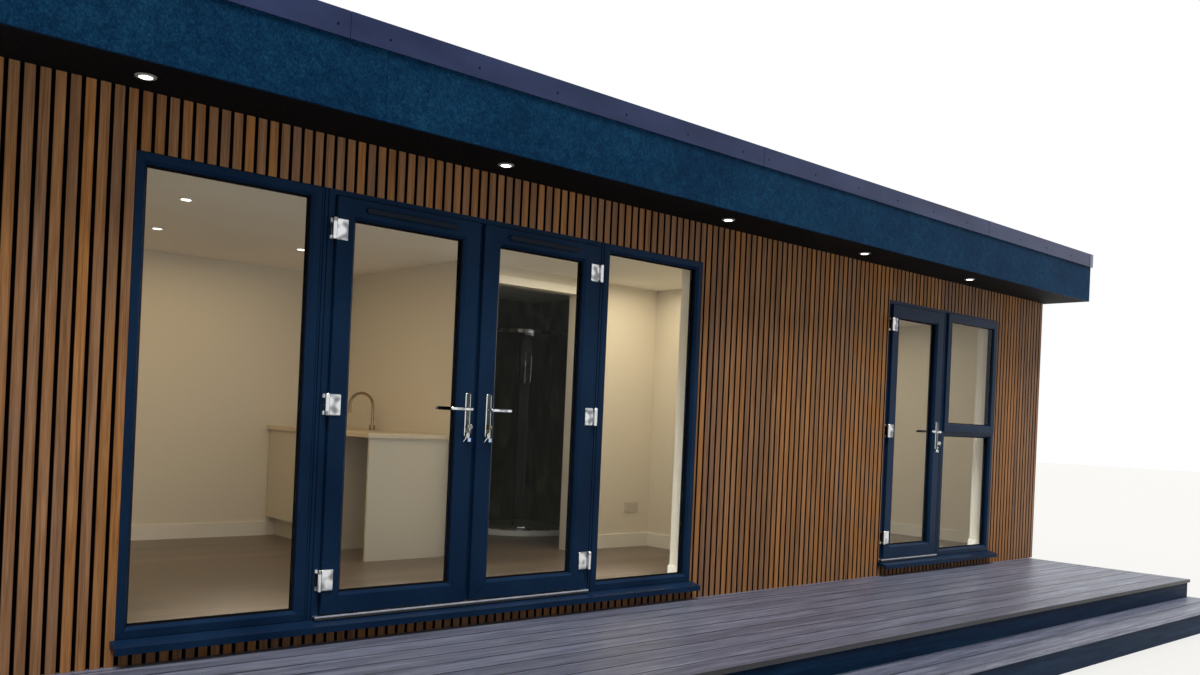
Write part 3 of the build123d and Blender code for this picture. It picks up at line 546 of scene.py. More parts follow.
def rubber_finish():
    """Black seals and gaskets."""
    rubber = Finish("black seal", specular_ior_level=0.06)
    speck = rubber.noise((400.0, 400.0, 400.0), 3.0, 0.6)
    tone = rubber.ramp(speck, (0.3, (0.002, 0.002, 0.003)), (0.7, (0.006, 0.006, 0.007)))
    rubber.put("Base Color", tone)
    rubber.put("Roughness", 0.8)
    rubber.bump(speck, 0.0002)
    return rubber.material


def lens_finish():
    """The lit lens of a lamp, with a faint frosted mottle."""
    lens = Finish("lit lens", roughness=0.3)
    frost = lens.noise((300.0, 300.0, 300.0), 2.0, 0.5)
    tone = lens.ramp(frost, (0.3, (0.93, 0.90, 0.80)), (0.7, (1.0, 0.98, 0.92)))
    lens.put("Base Color", tone)
    lens.put("Emission Color", tone)
    lens.put("Emission Strength", 4.0)
    return lens.material


def gloss_finish():
    """Near-black gloss plastic."""
    gloss = Finish("gloss black", roughness=0.22, specular_ior_level=0.14)
    gloss.put("Specular Tint", (0.5, 0.7, 1.0))
    speck = gloss.noise((90.0, 90.0, 90.0))
    tone = gloss.ramp(speck, (0.3, (0.0020, 0.0026, 0.0045)), (0.7, (0.0045, 0.0060, 0.0100)))
    gloss.put("Base Color", tone)
    return gloss.material


paint_white = paint_finish("satin white", (0.84, 0.82, 0.76), 0.42)
front_slats = slat_finish("front slats", "X", RIGHT_END, "Y", -FRONT_FACE)
navy = navy_finish()
navy_joint = navy_finish("navy joint", 0.25)
gloss_black = gloss_finish()
# The chrome's patches go down to 30 % of its colour: painted dark reflections.
chrome = metal_finish("bright chrome", CHROME, 0.06, 0.12, 0.30)
key_steel = metal_finish("key steel", (0.55, 0.55, 0.52), 0.18, 0.15)
key_brass = metal_finish("key brass", (0.62, 0.50, 0.26), 0.20, 0.15)
tag_blue = paint_finish("key tag", (0.42, 0.55, 0.80), 0.35)
# Near black for the socket's pin slots: painted shade in the holes.
slot_shade = paint_finish("socket slots", (0.030, 0.028, 0.026), 0.5)
seal = rubber_finish()
clear_glass = glass_finish("clear glass", (0.96, 0.985, 0.98))
dark_glass = glass_finish("smoked shower glass", (0.52, 0.58, 0.40))
lens = lens_finish()
deck_wood = deck_finish()
room_walls = room_finish()
timber = timber_finish()

finishes = {
    "base_frame": timber,
    "deck_bearers": timber,
    "deck_posts": timber,
    "floor_panel": panel_finish(),
    "laminate_floor": laminate_finish(),
    "front_wall_piers": room_walls,
    "front_wall_rails": room_walls,
    "end_walls": room_walls,
    "back_wall": room_walls,
    "partition_walls": room_walls,
    "ceiling": paint_finish("ceiling paint", (0.86, 0.84, 0.78), 0.8),
    "front_cladding": front_slats,
    "front_cladding_bands": front_slats,
    "back_cladding": slat_finish("back slats", "X", -RIGHT_END, "Y", BACK_FACE),
    "end_cladding": slat_finish("end slats", "Y", BACK_FACE - CLADDING, "X", RIGHT_END),
    "roof_deck": membrane_finish(),
    "soffit": soffit_finish(),
    "fascia_boards": fascia_finish(),
    "roof_trim": trim_finish(),
    # The soffit lamps' white rims are coloured dark grey: painted shade under the soffit.
    "downlights": paint_finish("lamp rim", (0.22, 0.22, 0.20), 0.3),
    "room_lights": paint_finish("room lamp rim", (0.80, 0.78, 0.72), 0.3),
    "deck_boards": deck_wood,
    "step_treads": deck_wood,
    "deck_risers": riser_finish(),
    "thresholds": threshold_finish(),
    "architrave": paint_white,
    "skirting": paint_white,
    "kitchen_unit": speckled_finish("kitchen door", (0.60, 0.55, 0.45), (0.64, 0.59, 0.49), 0.38, 220.0),
    "worktop": speckled_finish("worktop", (0.68, 0.58, 0.44), (0.50, 0.40, 0.28), 0.3, 90.0),
    "kitchen_tap": metal_finish("bronze chrome", (0.42, 0.33, 0.22), 0.12, 0.12),
    "wall_socket": paint_finish("socket plastic", (0.60, 0.55, 0.47), 0.3),
    "shower_tray": speckled_finish("shower tray", (0.84, 0.85, 0.84), (0.88, 0.88, 0.87), 0.15, 60.0),
    "shower_screen": dark_glass,
}
for name in ("fixed_frames", "coupling_posts", "window_sash", "door_frames", "sills",
             "left_leaf", "right_leaf", "single_leaf"):
    finishes[name] = navy
for name in ("hinge_knuckles", "shower_rail", "left_lever", "right_lever", "single_lever"):
    finishes[name] = chrome
handle_places = {joint["name"].split("_")[0]: Vector(joint["pos_m"])
                 for joint in frame["record"]["behaviour"]["joints"] if "handle" in joint["name"]}
for name, place in handle_places.items():
    finishes[name + "_hardware"] = plate_finish(name + " plate chrome", place.x)
for name in ("fixed_glass", "left_glass", "right_glass", "single_glass"):
    finishes[name] = clear_glass

for name, node in nodes.items():
    node.data.materials.clear()
    node.data.materials.append(finishes[name])


# Modelled pieces


class Shape:
    """A mesh under construction, with its points in the model's frame."""

    def __init__(self):
        self.mesh = bmesh.new()

    def points(self, places):
        return [self.mesh.verts.new(place) for place in places]

    def skin(self, loops):
        """Faces between neighbouring loops of as many points, with flat ends."""
        rows = [self.points(loop) for loop in loops]
        count = len(rows[0])
        for row, after in zip(rows, rows[1:]):
            for i in range(count):
                j = (i + 1) % count
                self.mesh.faces.new((row[i], row[j], after[j], after[i]))
        self.mesh.faces.new(list(reversed(rows[0])))
        self.mesh.faces.new(rows[-1])

    def bar(self, start, end):
        """A plain bar between two corners."""
        outline = ((start[0], start[1]), (end[0], start[1]), (end[0], end[1]), (start[0], end[1]))
        self.skin([[(x, y, z) for x, y in outline] for z in (start[2], end[2])])

    def prism(self, outline, depth):
        """A flat outline pushed along a vector."""
        depth = Vector(depth)
        self.skin([[Vector(p) for p in outline], [Vector(p) + depth for p in outline]])

    def tube(self, path, radii, sides):
        """A round bar along a path, with a radius at each of its points."""
        path = [Vector(p) for p in path]
        loops = []
        side = (path[1] - path[0]).normalized().orthogonal().normalized()
        for i, point in enumerate(path):
            ahead = (path[min(i + 1, len(path) - 1)] - path[max(i - 1, 0)]).normalized()
            side = (side - ahead * side.dot(ahead)).normalized()
            up = ahead.cross(side)
            turns = [2 * math.pi * k / sides for k in range(sides)]
            loops.append([point + radii[i] * (math.cos(t) * side + math.sin(t) * up) for t in turns])
        self.skin(loops)

    def ring(self, centre, normal, radius, thickness, sides=28, sections=8):
        """A round ring of round wire."""
        centre, normal = Vector(centre), Vector(normal).normalized()
        side = normal.orthogonal().normalized()
        up = normal.cross(side)
        rows = []
        for k in range(sides):
            turn = 2 * math.pi * k / sides
            out = math.cos(turn) * side + math.sin(turn) * up
            rolls = [2 * math.pi * m / sections for m in range(sections)]
            rows.append(self.points([centre + out * (radius + thickness * math.cos(roll))
                                     + normal * thickness * math.sin(roll) for roll in rolls]))
        for k in range(sides):
            row, after = rows[k], rows[(k + 1) % sides]
            for m in range(sections):
                n = (m + 1) % sections
                self.mesh.faces.new((row[m], row[n], after[n], after[m]))

    def dome(self, centre, normal, radius, height, sides, rings):
        """A low round head on a flat face."""
        centre, normal = Vector(centre), Vector(normal).normalized()
        along = normal.orthogonal().normalized()
        across = normal.cross(along)
        turns = [2 * math.pi * (m / sides - 0.25) for m in range(sides)]
        tip = 0.04
        loops = []
        for k in range(rings + 1):
            lift = 0.5 * math.pi * k / rings
            middle = centre + normal * height * math.sin(lift)
            reach = radius * max(math.cos(lift), tip)
            loops.append([middle + reach * (math.cos(t) * along + math.sin(t) * across) for t in turns])
        self.skin(loops)

    def place(self, name, material, body, slot, bevel=0.0):
        """Ends the mesh as one piece that rides on a body."""
        bmesh.ops.remove_doubles(self.mesh, verts=self.mesh.verts, dist=1e-6)
        bmesh.ops.recalc_face_normals(self.mesh, faces=self.mesh.faces)
        data = bpy.data.meshes.new(name)
        self.mesh.to_mesh(data)
        self.mesh.free()
        data.materials.append(material)
        piece = bpy.data.objects.new(name, data)
        bpy.context.scene.collection.objects.link(piece)
        if bevel:
            edge = piece.modifiers.new("soft edges", "BEVEL")
            edge.width = bevel
            edge.segments = 3
            edge.limit_method = "ANGLE"
        data.shade_smooth()
        data.set_sharp_from_angle(angle=math.radians(38))
        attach(piece, body)


def solids(node):
    """The lowest and highest corner of each separate solid of a node, from left to right."""
    mesh = bmesh.new()
    mesh.from_mesh(nodes[node].data)
    bmesh.ops.remove_doubles(mesh, verts=mesh.verts, dist=1e-5)
    waiting = set(mesh.verts)
    found = []
    while waiting:
        queue = [waiting.pop()]
        group = []
        while queue:
            vert = queue.pop()
            group.append(vert.co.copy())
            for edge in vert.link_edges:
                other = edge.other_vert(vert)
                if other in waiting:
                    waiting.discard(other)
                    queue.append(other)
        corners = [Vector([pick(p[i] for p in group) for i in range(3)]) for pick in (min, max)]
        found.append(corners)
    mesh.free()
    return sorted(found, key=lambda box: (round(box[0].x, 3), round(box[0].z, 3)))


def rounded(x, z, y, radius, steps=5):
    """The outline of an upright rounded rectangle between the limits x and z at depth y."""
    outline = []
    corners = ((x[1], z[1], 0.0), (x[0], z[1], 0.5), (x[0], z[0], 1.0), (x[1], z[0], 1.5))
    middle_x, middle_z = (x[0] + x[1]) / 2, (z[0] + z[1]) / 2
    for corner_x, corner_z, quarter in corners:
        centre_x = corner_x - math.copysign(radius, corner_x - middle_x)
        centre_z = corner_z - math.copysign(radius, corner_z - middle_z)
        for k in range(steps + 1):
            turn = math.pi * (quarter + 0.5 * k / steps)
            reach = radius * Vector((math.cos(turn), 0.0, math.sin(turn)))
            outline.append(Vector((centre_x, y, centre_z)) + reach)
    return outline


# Roof edge

SCREW_PITCH = 0.48
SCREW_RISE = 0.048
SCREW_HEAD = 0.0065
SCREW_HEIGHT = 0.0024
SCREW_END = 0.02
FIRST_SCREWS = (0.168, 0.195, 0.042, 0.042)
CLIP_WIDTH = 0.045
CLIP_SHEET = 0.0013
CLIP_EDGE = 0.0004


def roof_edge():
    """Screw heads along the front of the trim, and a clip strip beside each joint."""
    bottom, top = low("roof_trim").z, high("roof_trim").z
    face = low("roof_trim").y + TRIM_CAP_PROUD
    left, right = low("roof_trim").x, high("roof_trim").x
    joints = sorted({start.x for start, _ in solids("roof_trim")
                     if start.y < 0 and left + TRIM_CAP_WIDTH < start.x < right - 2 * TRIM_CAP_WIDTH})
    screws = Shape()
    for start, end, first in zip([left] + joints, joints + [right - TRIM_CAP_WIDTH], FIRST_SCREWS):
        x = start + first
        while x < end - SCREW_END:
            screws.dome((x, face, bottom + SCREW_RISE), (0, -1, 0), SCREW_HEAD, SCREW_HEIGHT, 14, 3)
            x += SCREW_PITCH
    screws.place("trim_screws", navy_joint, "building", "roof_trim")
    clips = Shape()
    for x in joints:
        clips.bar((x, face - CLIP_SHEET, bottom), (x + CLIP_WIDTH, face, top))
    clips.place("trim_clips", finishes["roof_trim"], "building", "roof_trim", CLIP_EDGE)


# Lamps

LENS_RADIUS = 0.027
LENS_HEIGHT = 0.003


def lenses(node, name):
    """The lit lens in the middle of each round lamp of a node."""
    shape = Shape()
    for start, end in solids(node):
        middle = (start + end) / 2
        shape.dome((middle.x, middle.y, start.z), (0, 0, -1), LENS_RADIUS, LENS_HEIGHT, 28, 4)
    shape.place(name, lens, "building", "downlight")


# Frames and leaves

GASKET_AND_SHADE_WIDTH = 0.006
GASKET_PROUD = 0.003
MITRE = 0.0016
MITRE_PROUD = 0.0003
RIGHT_EXTRA = 0.013


def gasket_and_shade(shape, pane, sides=(0, 1)):
    """Black seals round one pane, on its outer side, its inner side or both, standing partly for the real
    gaskets and partly as a band of painted shade in the recess round the glass.
    """
    (x0, y0, z0), (x1, y1, z1) = pane
    strips = ((y0 - GASKET_PROUD, y0), (y1, y1 + GASKET_PROUD))
    for side in sides:
        near, far = strips[side]
        shape.bar((x0, near, z0), (x1, far, z0 + GASKET_AND_SHADE_WIDTH))
        shape.bar((x0, near, z1 - GASKET_AND_SHADE_WIDTH), (x1, far, z1))
        shape.bar((x0, near, z0 + GASKET_AND_SHADE_WIDTH), (x0 + GASKET_AND_SHADE_WIDTH, far, z1 - GASKET_AND_SHADE_WIDTH))
        shape.bar((x1 - GASKET_AND_SHADE_WIDTH, near, z0 + GASKET_AND_SHADE_WIDTH), (x1, far, z1 - GASKET_AND_SHADE_WIDTH))


def mitres(shape, x, z, face, pane_x, pane_z, bead):
    """The four corner joints of a frame's face, from its chamfer to the bead round its pane."""
    for side in (0, 1):
        for level in (0, 1):
            way_x, way_z = 1 - 2 * side, 1 - 2 * level
            outer = Vector((x[side] + way_x * EDGE_CHAMFER, face, z[level] + way_z * EDGE_CHAMFER))
            inner = Vector((pane_x[side] - way_x * bead, face, pane_z[level] - way_z * bead))
            across = (inner - outer).cross(Vector((0, 1, 0))).normalized() * MITRE / 2
            outline = [outer - across, outer + across, inner + across, inner - across]
            shape.prism(outline, (0, -MITRE_PROUD, 0))


VENT_DROP = 0.048
VENT_HALF = 0.0135
VENT_INSET = 0.150
VENT_PROUD = 0.012
VENT_OVERLAP = 0.0015
VENT_ROUND = 0.0134
VENT_EDGE = 0.003


def vent_hood(body, x, top):
    """A glossy dark hood with round ends over the vent in a leaf's top rail."""
    level = top - VENT_DROP
    inset = VENT_INSET - VENT_OVERLAP
    outline = rounded((x[0] + inset, x[1] - inset), (level - VENT_HALF, level + VENT_HALF),
                      LEAF_FACE, VENT_ROUND, 8)
    hood = Shape()
    hood.prism(outline, (0, -VENT_PROUD, 0))
    hood.place(body + "_vent_hood", gloss_black, body, "navy_frame", VENT_EDGE)


KEY_LEAN = {"left": 0.45, "right": -0.35, "single": 0.35}
KEY_BOW = 0.0150
KEY_SHEET = 0.0026
KEY_SHANK = 0.0034
KEY_REACH = 0.012
KEY_EDGE = 0.0006
BOW_FROM_LOCK = Vector((0, -0.022, -0.001))
RING_FROM_BOW = Vector((-0.004, 0.004, -0.0235))
RING_FOOT = Vector((-0.004, 0.006, -0.0105))
RING_RADIUS = 0.0130
RING_WIRE = 0.0010
SPARE_FROM_FOOT = Vector((0.002, -0.001, -0.0110))
SPARE_NECK = Vector((-0.006, 0, -0.008))
SPARE_TIP = Vector((-0.026, 0.001, -0.034))
SPARE_FACING = (0.35, -1, 0.1)
SPARE_SHEET = 0.0024
SPARE_SHANK = (0.0032, 0.0020)
TAG_FROM_FOOT = Vector((0.006, 0.0012, -0.044))
TAG_SIZE = Vector((0.018, 0.003, 0.020))
TAG_EDGE = 0.0014


def bow(shape, centre, normal, radius, thickness):
    """A key's twelve-sided head."""
    centre, normal = Vector(centre), Vector(normal).normalized()
    upright = Vector((0, 0, 1))
    across = normal.cross(upright).normalized()
    back = centre - normal * thickness / 2
    corners = []
    for k in range(12):
        turn = math.pi * (k + 0.5) / 6
        corners.append(back + radius * (math.cos(turn) * upright + math.sin(turn) * across))
    shape.prism(corners, normal * thickness)


def key_set(name, lock, lean):
    """A key in the lock, a ring, a spare key and a tag. lock is the middle of the cylinder's outer
    face, and lean turns the key's head round the upright."""
    body = name + "_door"
    lock = Vector(lock)
    shank = [lock + Vector((0, 0.001, 0)), lock + Vector((0, -KEY_REACH, 0))]
    head = lock + BOW_FROM_LOCK
    hang = head + RING_FROM_BOW
    foot = hang + RING_FOOT
    keys = Shape()
    keys.tube(shank, [KEY_SHANK] * 2, 12)
    bow(keys, head, (math.cos(lean), math.sin(lean), 0.0), KEY_BOW, KEY_SHEET)
    keys.ring(hang, (math.cos(lean), math.sin(lean), 0.25), RING_RADIUS, RING_WIRE)
    keys.place(name + "_keys", key_brass if name == "right" else key_steel, body, "chrome", KEY_EDGE)
    head = foot + SPARE_FROM_FOOT
    spare = Shape()
    bow(spare, head, SPARE_FACING, KEY_BOW, SPARE_SHEET)
    spare.tube([head + SPARE_NECK, head + SPARE_TIP], SPARE_SHANK, 10)
    spare.place(name + "_spare_key", key_steel, body, "chrome", KEY_EDGE)
    corner = foot + TAG_FROM_FOOT
    tag = Shape()
    tag.bar(corner, corner + TAG_SIZE)
    tag.place(name + "_key_tag", tag_blue, body, "socket_white", TAG_EDGE)


COVER_INSET = 0.001
COVER_CORNER = 0.008
COVER_PROUD = 0.004
COVER_EDGE = 0.0022
CAP_INSET = 0.0008
CAP_HEIGHT = 0.0045


def hinge_covers(name, body, swing):
    """Soft-edged covers over the flags of one leaf's hinges."""
    hinge = next(j for j in frame["record"]["behaviour"]["joints"] if j["name"] == body + "_hinge")
    axis_x = hinge["pos_m"][0]
    covers = Shape()
    for start, end in solids("hinge_knuckles"):
        if abs((start.x + end.x) / 2 - axis_x) < FLAG_START:
            near, far = FLAG_START + COVER_INSET, FLAG_START + FLAG_WIDTH - COVER_INSET
            x = sorted((axis_x + swing * near, axis_x + swing * far))
            z = (start.z + COVER_INSET, start.z + HINGE_LENGTH - COVER_INSET)
            outline = rounded(x, z, LEAF_FACE - FLAG_THICKNESS, COVER_CORNER)
            covers.prism(outline, (0, -COVER_PROUD, 0))
    covers.place(name + "_hinge_covers", chrome, body, "chrome", COVER_EDGE)


def hinge_caps():
    """Domed ends on the hinge barrels."""
    caps = Shape()
    for start, end in solids("hinge_knuckles"):
        centre_x = (start.x + end.x) / 2
        centre_y = start.y + BARREL_RADIUS
        for z, way in ((end.z, 1), (start.z, -1)):
            caps.dome((centre_x, centre_y, z), (0, 0, way), BARREL_RADIUS - CAP_INSET, CAP_HEIGHT, 22, 4)
    caps.place("hinge_caps", chrome, "building", "chrome")


PLATE_SCREW_INSET = 0.018
PLATE_SCREW_HEAD = 0.0045
PLATE_SCREW_HEIGHT = 0.0016


def plate_fixings(name, axis):
    """The two screws that hold the handle plates, seen on the inner one."""
    face = LEAF_FACE + LEAF_DEPTH + PLATE_THICKNESS
    top = axis.z + PLATE_ABOVE
    screws = Shape()
    for level in (top - PLATE_SCREW_INSET, top - PLATE_LENGTH + PLATE_SCREW_INSET):
        screws.dome((axis.x, face, level), (0, 1, 0), PLATE_SCREW_HEAD, PLATE_SCREW_HEIGHT, 16, 3)
    screws.place(name + "_plate_screws", key_steel, name + "_door", "chrome")


def door(name, swing, vented):
    """The added pieces of one leaf. swing is 1 where it lies to the right of its hinges."""
    body = name + "_door"
    pane = solids(name + "_glass")[0]
    # Black seals round the pane: partly the real gaskets, partly painted shade in its recess.
    seals = Shape()
    gasket_and_shade(seals, pane)
    seals.place(name + "_door_gaskets_and_shade", seal, body, "soffit_black")
    leaf = solids(name + "_leaf")[0]
    left = pane[0].x - LEAF_STILE - (RIGHT_EXTRA if name == "right" else 0.0)
    lines = Shape()
    mitres(lines, (left, leaf[1].x), (leaf[0].z, leaf[1].z), LEAF_FACE,
           (pane[0].x, pane[1].x), (pane[0].z, pane[1].z), LEAF_BEAD)
    lines.place(name + "_door_mitres", navy_joint, body, "navy_frame")
    if vented:
        vent_hood(body, (pane[0].x - LEAF_STILE, pane[1].x + LEAF_STILE), leaf[1].z)
    axis = handle_places[name]
    lock = (axis.x, LEAF_FACE - PLATE_THICKNESS - CYLINDER_PROUD, axis.z - CYLINDER_DROP)
    key_set(name, lock, KEY_LEAN[name])
    plate_fixings(name, axis)
    hinge_covers(name, body, swing)


def fixed_lights():
    """Seals, which are partly painted shade round the glass, and corner joints of the side lights and the
    window.
    """
    panes = solids("fixed_glass")
    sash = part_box("window_sash")
    sash_x = (sash[0][0], sash[1][0])
    sash_z = (sash[0][2], sash[1][2])
    upper = panes[-1]
    seals = Shape()
    lines = Shape()
    for pane in panes[:-1]:
        gasket_and_shade(seals, pane)
        x = (pane[0].x - FIXED_SIGHT, pane[1].x + FIXED_SIGHT)
        z = (pane[0].z - FIXED_SIGHT, pane[1].z + FIXED_SIGHT)
        mitres(lines, x, z, low("fixed_frames").y, (pane[0].x, pane[1].x), (pane[0].z, pane[1].z),
               LEAF_BEAD)
    gasket_and_shade(seals, upper, (1,))
    opening_x = (sash_x[0] + SASH_STILE, sash_x[1] - SASH_STILE)
    opening_z = (sash_z[0] + SASH_STILE, sash_z[1] - SASH_STILE)
    framed = ((opening_x[0], upper[0].y, opening_z[0]), (opening_x[1], upper[1].y, opening_z[1]))
    gasket_and_shade(seals, framed, (0,))
    mitres(lines, sash_x, sash_z, sash[0][1], opening_x, opening_z, SASH_BEAD)
    seals.place("fixed_gaskets_and_shade", seal, "building", "soffit_black")
    lines.place("fixed_mitres", navy_joint, "building", "navy_frame")


# Inside

ROCKER_OFFSET = 0.014
ROCKER_HALF = 0.006
ROCKER_FOOT = 0.012
ROCKER_HEAD = 0.030
ROCKER_PROUD = 0.003
ROCKER_CORNER = 0.002
ROCKER_EDGE = 0.0006
PINS_OFFSET = 0.040
PIN_SLOTS = ((0.0, 0.012, 0.0045, 0.009), (-0.011, -0.011, 0.008, 0.0045), (0.011, -0.011, 0.008, 0.0045))
PIN_CORNER = 0.0008
PIN_SHEET = 0.0004


def socket_face():
    """Two rockers and two sets of pin slots on the double wall socket, the slots drawn as thin near-black
    sheets: painted shade in the holes.
    """
    start, end = low("wall_socket"), high("wall_socket")
    middle_x = (start.x + end.x) / 2
    middle_z = (start.z + end.z) / 2
    rockers = Shape()
    slots = Shape()
    for way in (-1, 1):
        x = middle_x + way * ROCKER_OFFSET
        z = (middle_z + ROCKER_FOOT, middle_z + ROCKER_HEAD)
        outline = rounded((x - ROCKER_HALF, x + ROCKER_HALF), z, start.y, ROCKER_CORNER)
        rockers.prism(outline, (0, -ROCKER_PROUD, 0))
        for side, level, width, height in PIN_SLOTS:
            x = middle_x + way * PINS_OFFSET + side
            z = middle_z + level
            outline = rounded((x - width / 2, x + width / 2), (z - height / 2, z + height / 2),
                              start.y, PIN_CORNER, 2)
            slots.prism(outline, (0, -PIN_SHEET, 0))
    rockers.place("socket_rockers", finishes["wall_socket"], "building", "socket_white", ROCKER_EDGE)
    slots.place("socket_slots", slot_shade, "building", "socket_white")


TRAY_SIZE = 0.900
SCREEN_INSET = 0.030
TRAY_STRAIGHT = 0.4
SEAL_TURN = 50
SEAL_OUT = 0.006
SEAL_RADIUS = 0.009
SEAL_FOOT = 0.04
SEAL_TOP = 0.002
HANDLE_TURNS = (55.5, 60.5)
HANDLE_DROPS = (0.44, 0.17)
HANDLE_BENDS = ((0.0, 0.0), (0.030, 0.012), (0.036, 0.05))
HANDLE_RADIUS = 0.007
ROLLER_TURNS = (55, 61)
ROLLER_OUT = 0.024
TOP_ROLLER = (0.012, 0.015)
FOOT_ROLLER = (0.028, 0.013)
FOOT_RAIL_RISE = 0.006
FOOT_RAIL_RADIUS = 0.010
FITTING_EDGE = 0.0006


def shower_fittings():
    """The seal where the curved doors meet, their handles, and the rollers at top and bottom."""
    corner_x, corner_y = high("shower_tray").x, high("shower_tray").y
    outside = TRAY_SIZE - SCREEN_INSET
    straight = outside * TRAY_STRAIGHT
    radius = outside - straight
    centre = Vector((corner_x - straight, corner_y - straight, 0.0))
    z0, z1 = low("shower_screen").z, high("shower_screen").z

    def spot(turn, out, z):
        way = Vector((-math.cos(math.radians(turn)), -math.sin(math.radians(turn)), 0.0))
        return centre + way * (radius + out) + Vector((0.0, 0.0, z))

    strip = Shape()
    ends = [spot(SEAL_TURN, SEAL_OUT, z0 + SEAL_FOOT), spot(SEAL_TURN, SEAL_OUT, z1 - SEAL_TOP)]
    strip.tube(ends, [SEAL_RADIUS] * 2, 10)
    strip.place("shower_seal", seal, "building", "soffit_black")
    fittings = Shape()
    foot, head = [z1 - drop for drop in HANDLE_DROPS]
    for turn in HANDLE_TURNS:
        path = [spot(turn, out, foot + rise) for out, rise in HANDLE_BENDS]
        path += [spot(turn, out, head - rise) for out, rise in reversed(HANDLE_BENDS)]
        fittings.tube(path, [HANDLE_RADIUS] * len(path), 12)
    for level, size in ((z1 - TOP_ROLLER[0], TOP_ROLLER[1]), (z0 + FOOT_ROLLER[0], FOOT_ROLLER[1])):
        for turn in ROLLER_TURNS:
            fittings.tube([spot(turn, 0.0, level), spot(turn, ROLLER_OUT, level)], [size, size * 0.85], 18)
        carrier = range(ROLLER_TURNS[0] - 1, ROLLER_TURNS[1] + 2)
        fittings.tube([spot(turn, ROLLER_OUT, level) for turn in carrier], [size / 2] * len(carrier), 10)
    fittings.place("shower_fittings", chrome, "building", "chrome", FITTING_EDGE)
    steps = 24
    arc = [spot(90.0 * k / steps, 0.0, z0 + FOOT_RAIL_RISE) for k in range(steps + 1)]
    rail = Shape()
    rail.tube(arc, [FOOT_RAIL_RADIUS] * len(arc), 8)
    rail.place("shower_foot_rail", chrome, "building", "chrome")


roof_edge()
lenses("downlights", "soffit_lenses")
lenses("room_lights", "room_lenses")
fixed_lights()
door("left", 1, True)
door("right", -1, True)
door("single", 1, False)
hinge_caps()
socket_face()
shower_fittings()


# Camera, at the photograph's viewing angle

EYE = Vector((-4.989, -6.2947, 1.439))
YAW = 0.7246
PITCH = 0.0018
ROLL = 0.044
FOCAL_LENGTH = 30.6
LENS_RISE = 0.0679


def add_camera():
    ahead = Vector((math.sin(YAW) * math.cos(PITCH), math.cos(YAW) * math.cos(PITCH), math.sin(PITCH)))
    level = Vector((math.cos(YAW), -math.sin(YAW), 0.0))
    upright = level.cross(ahead)
    right = math.cos(ROLL) * level + math.sin(ROLL) * upright
    up = math.cos(ROLL) * upright - math.sin(ROLL) * level
    data = bpy.data.cameras.new("photo view")
    data.sensor_width = 36.0
    data.lens = FOCAL_LENGTH
    data.shift_y = LENS_RISE
    data.clip_end = 200.0
    camera = bpy.data.objects.new("photo view", data)
    turn = Matrix((right, up, -ahead)).transposed().to_4x4()
    camera.matrix_world = Matrix.Translation(EYE) @ turn
    bpy.context.scene.collection.objects.link(camera)
    bpy.context.scene.camera = camera


# Light

KEY_ENERGY = 3.7
KEY_SPREAD = math.radians(26)
KEY_WAY = Vector((0.26, 0.42, -0.87))
DAYLIGHT = (1.0, 0.985, 0.96)
AMBER = (1.0, 0.72, 0.40)
WARM = (1.0, 0.84, 0.60)
ROOM_LAMPS = {"living room": ((-2.9, 0.1), (2.4, 2.2), 17.0, AMBER),
              "right room": ((2.75, 0.1), (2.2, 2.2), 18.0, WARM),
              "passage": ((0.1, -0.8), (1.6, 0.9), 14.5, WARM)}
LAMP_DROP = 0.03
SKY_LEVEL = 0.34
FLOOR_REACH = 60.0
FLOOR_TONE = (0.70, 0.70, 0.69)


def add_lamp(name, kind, energy, colour, **settings):
    data = bpy.data.lights.new(name, kind)
    data.energy = energy
    data.color = colour
    for key, value in settings.items():
        setattr(data, key, value)
    lamp = bpy.data.objects.new(name, data)
    bpy.context.scene.collection.objects.link(lamp)
    return lamp


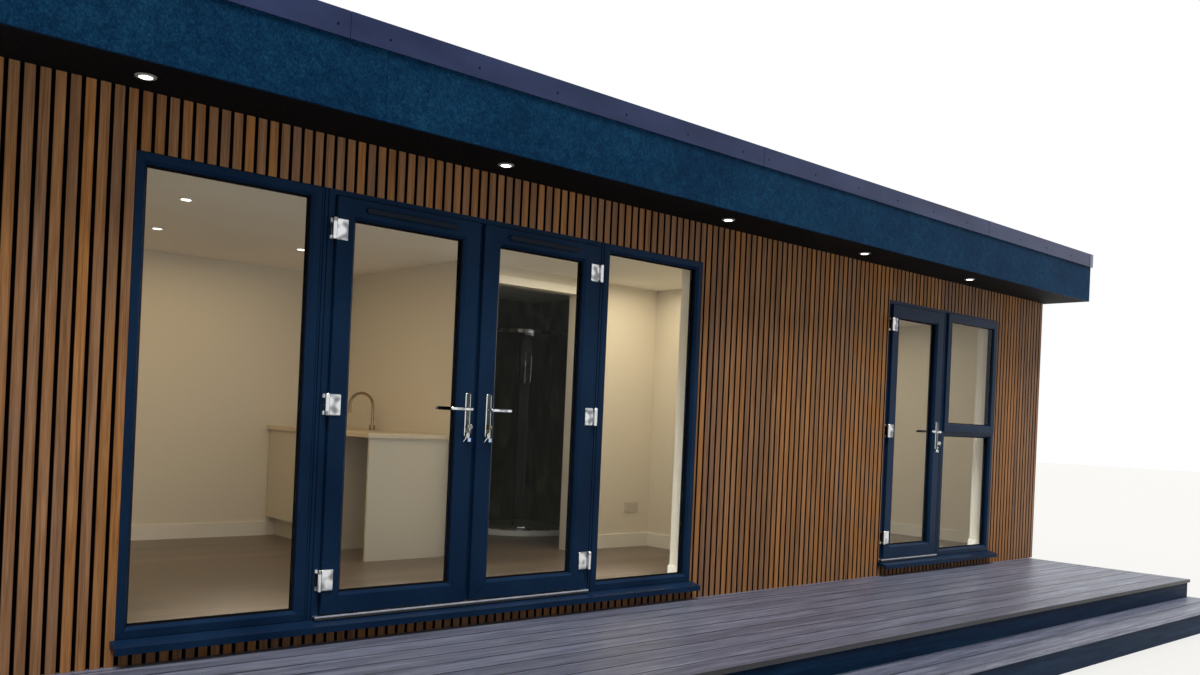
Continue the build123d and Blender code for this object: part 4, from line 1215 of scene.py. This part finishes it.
def add_lights():
    """One broad soft key from the front, and warm room lamps under the ceilings."""
    key = add_lamp("key", "SUN", KEY_ENERGY, DAYLIGHT, angle=KEY_SPREAD)
    key.rotation_euler = KEY_WAY.to_track_quat("-Z", "Y").to_euler()
    for name, ((x, y), (width, depth), energy, colour) in ROOM_LAMPS.items():
        lamp = add_lamp(name, "AREA", energy, colour, shape="RECTANGLE", size=width, size_y=depth)
        lamp.location = (x, y, low("ceiling").z - LAMP_DROP)
        lamp.visible_camera = False
        lamp.visible_glossy = False
        lamp.visible_transmission = False


def add_world():
    """White where it is seen, and a plain soft level where it lights."""
    world = bpy.data.worlds.new("studio")
    world.use_nodes = True
    tree = world.node_tree
    sky = tree.nodes["Background"]
    sky.inputs["Color"].default_value = (1.0, 1.0, 1.0, 1.0)
    path = tree.nodes.new("ShaderNodeLightPath")
    seen = path.outputs["Is Camera Ray"]
    for words in ("Is Glossy Ray", "Is Transmission Ray"):
        either = tree.nodes.new("ShaderNodeMath")
        either.operation = "MAXIMUM"
        tree.links.new(seen, either.inputs[0])
        tree.links.new(path.outputs[words], either.inputs[1])
        seen = either.outputs[0]
    level = tree.nodes.new("ShaderNodeMapRange")
    level.inputs["To Min"].default_value = SKY_LEVEL
    level.inputs["To Max"].default_value = 1.0
    tree.links.new(seen, level.inputs["Value"])
    tree.links.new(level.outputs[0], sky.inputs["Strength"])
    bpy.context.scene.world = world


def add_floor():
    """A plain pale floor that reaches the horizon."""
    ways = ((-1, -1), (1, -1), (1, 1), (-1, 1))
    floor_mesh = bmesh.new()
    corners = [floor_mesh.verts.new((x * FLOOR_REACH, y * FLOOR_REACH, 0.0)) for x, y in ways]
    floor_mesh.faces.new(corners)
    data = bpy.data.meshes.new("studio floor")
    floor_mesh.to_mesh(data)
    floor_mesh.free()
    floor = bpy.data.objects.new("studio_floor", data)
    bpy.context.scene.collection.objects.link(floor)
    pale = Finish("studio floor", roughness=0.9, specular_ior_level=0.1)
    pale.put("Base Color", FLOOR_TONE)
    data.materials.append(pale.material)


bpy.context.scene.view_settings.view_transform = "Standard"
add_camera()
add_lights()
add_world()
add_floor()
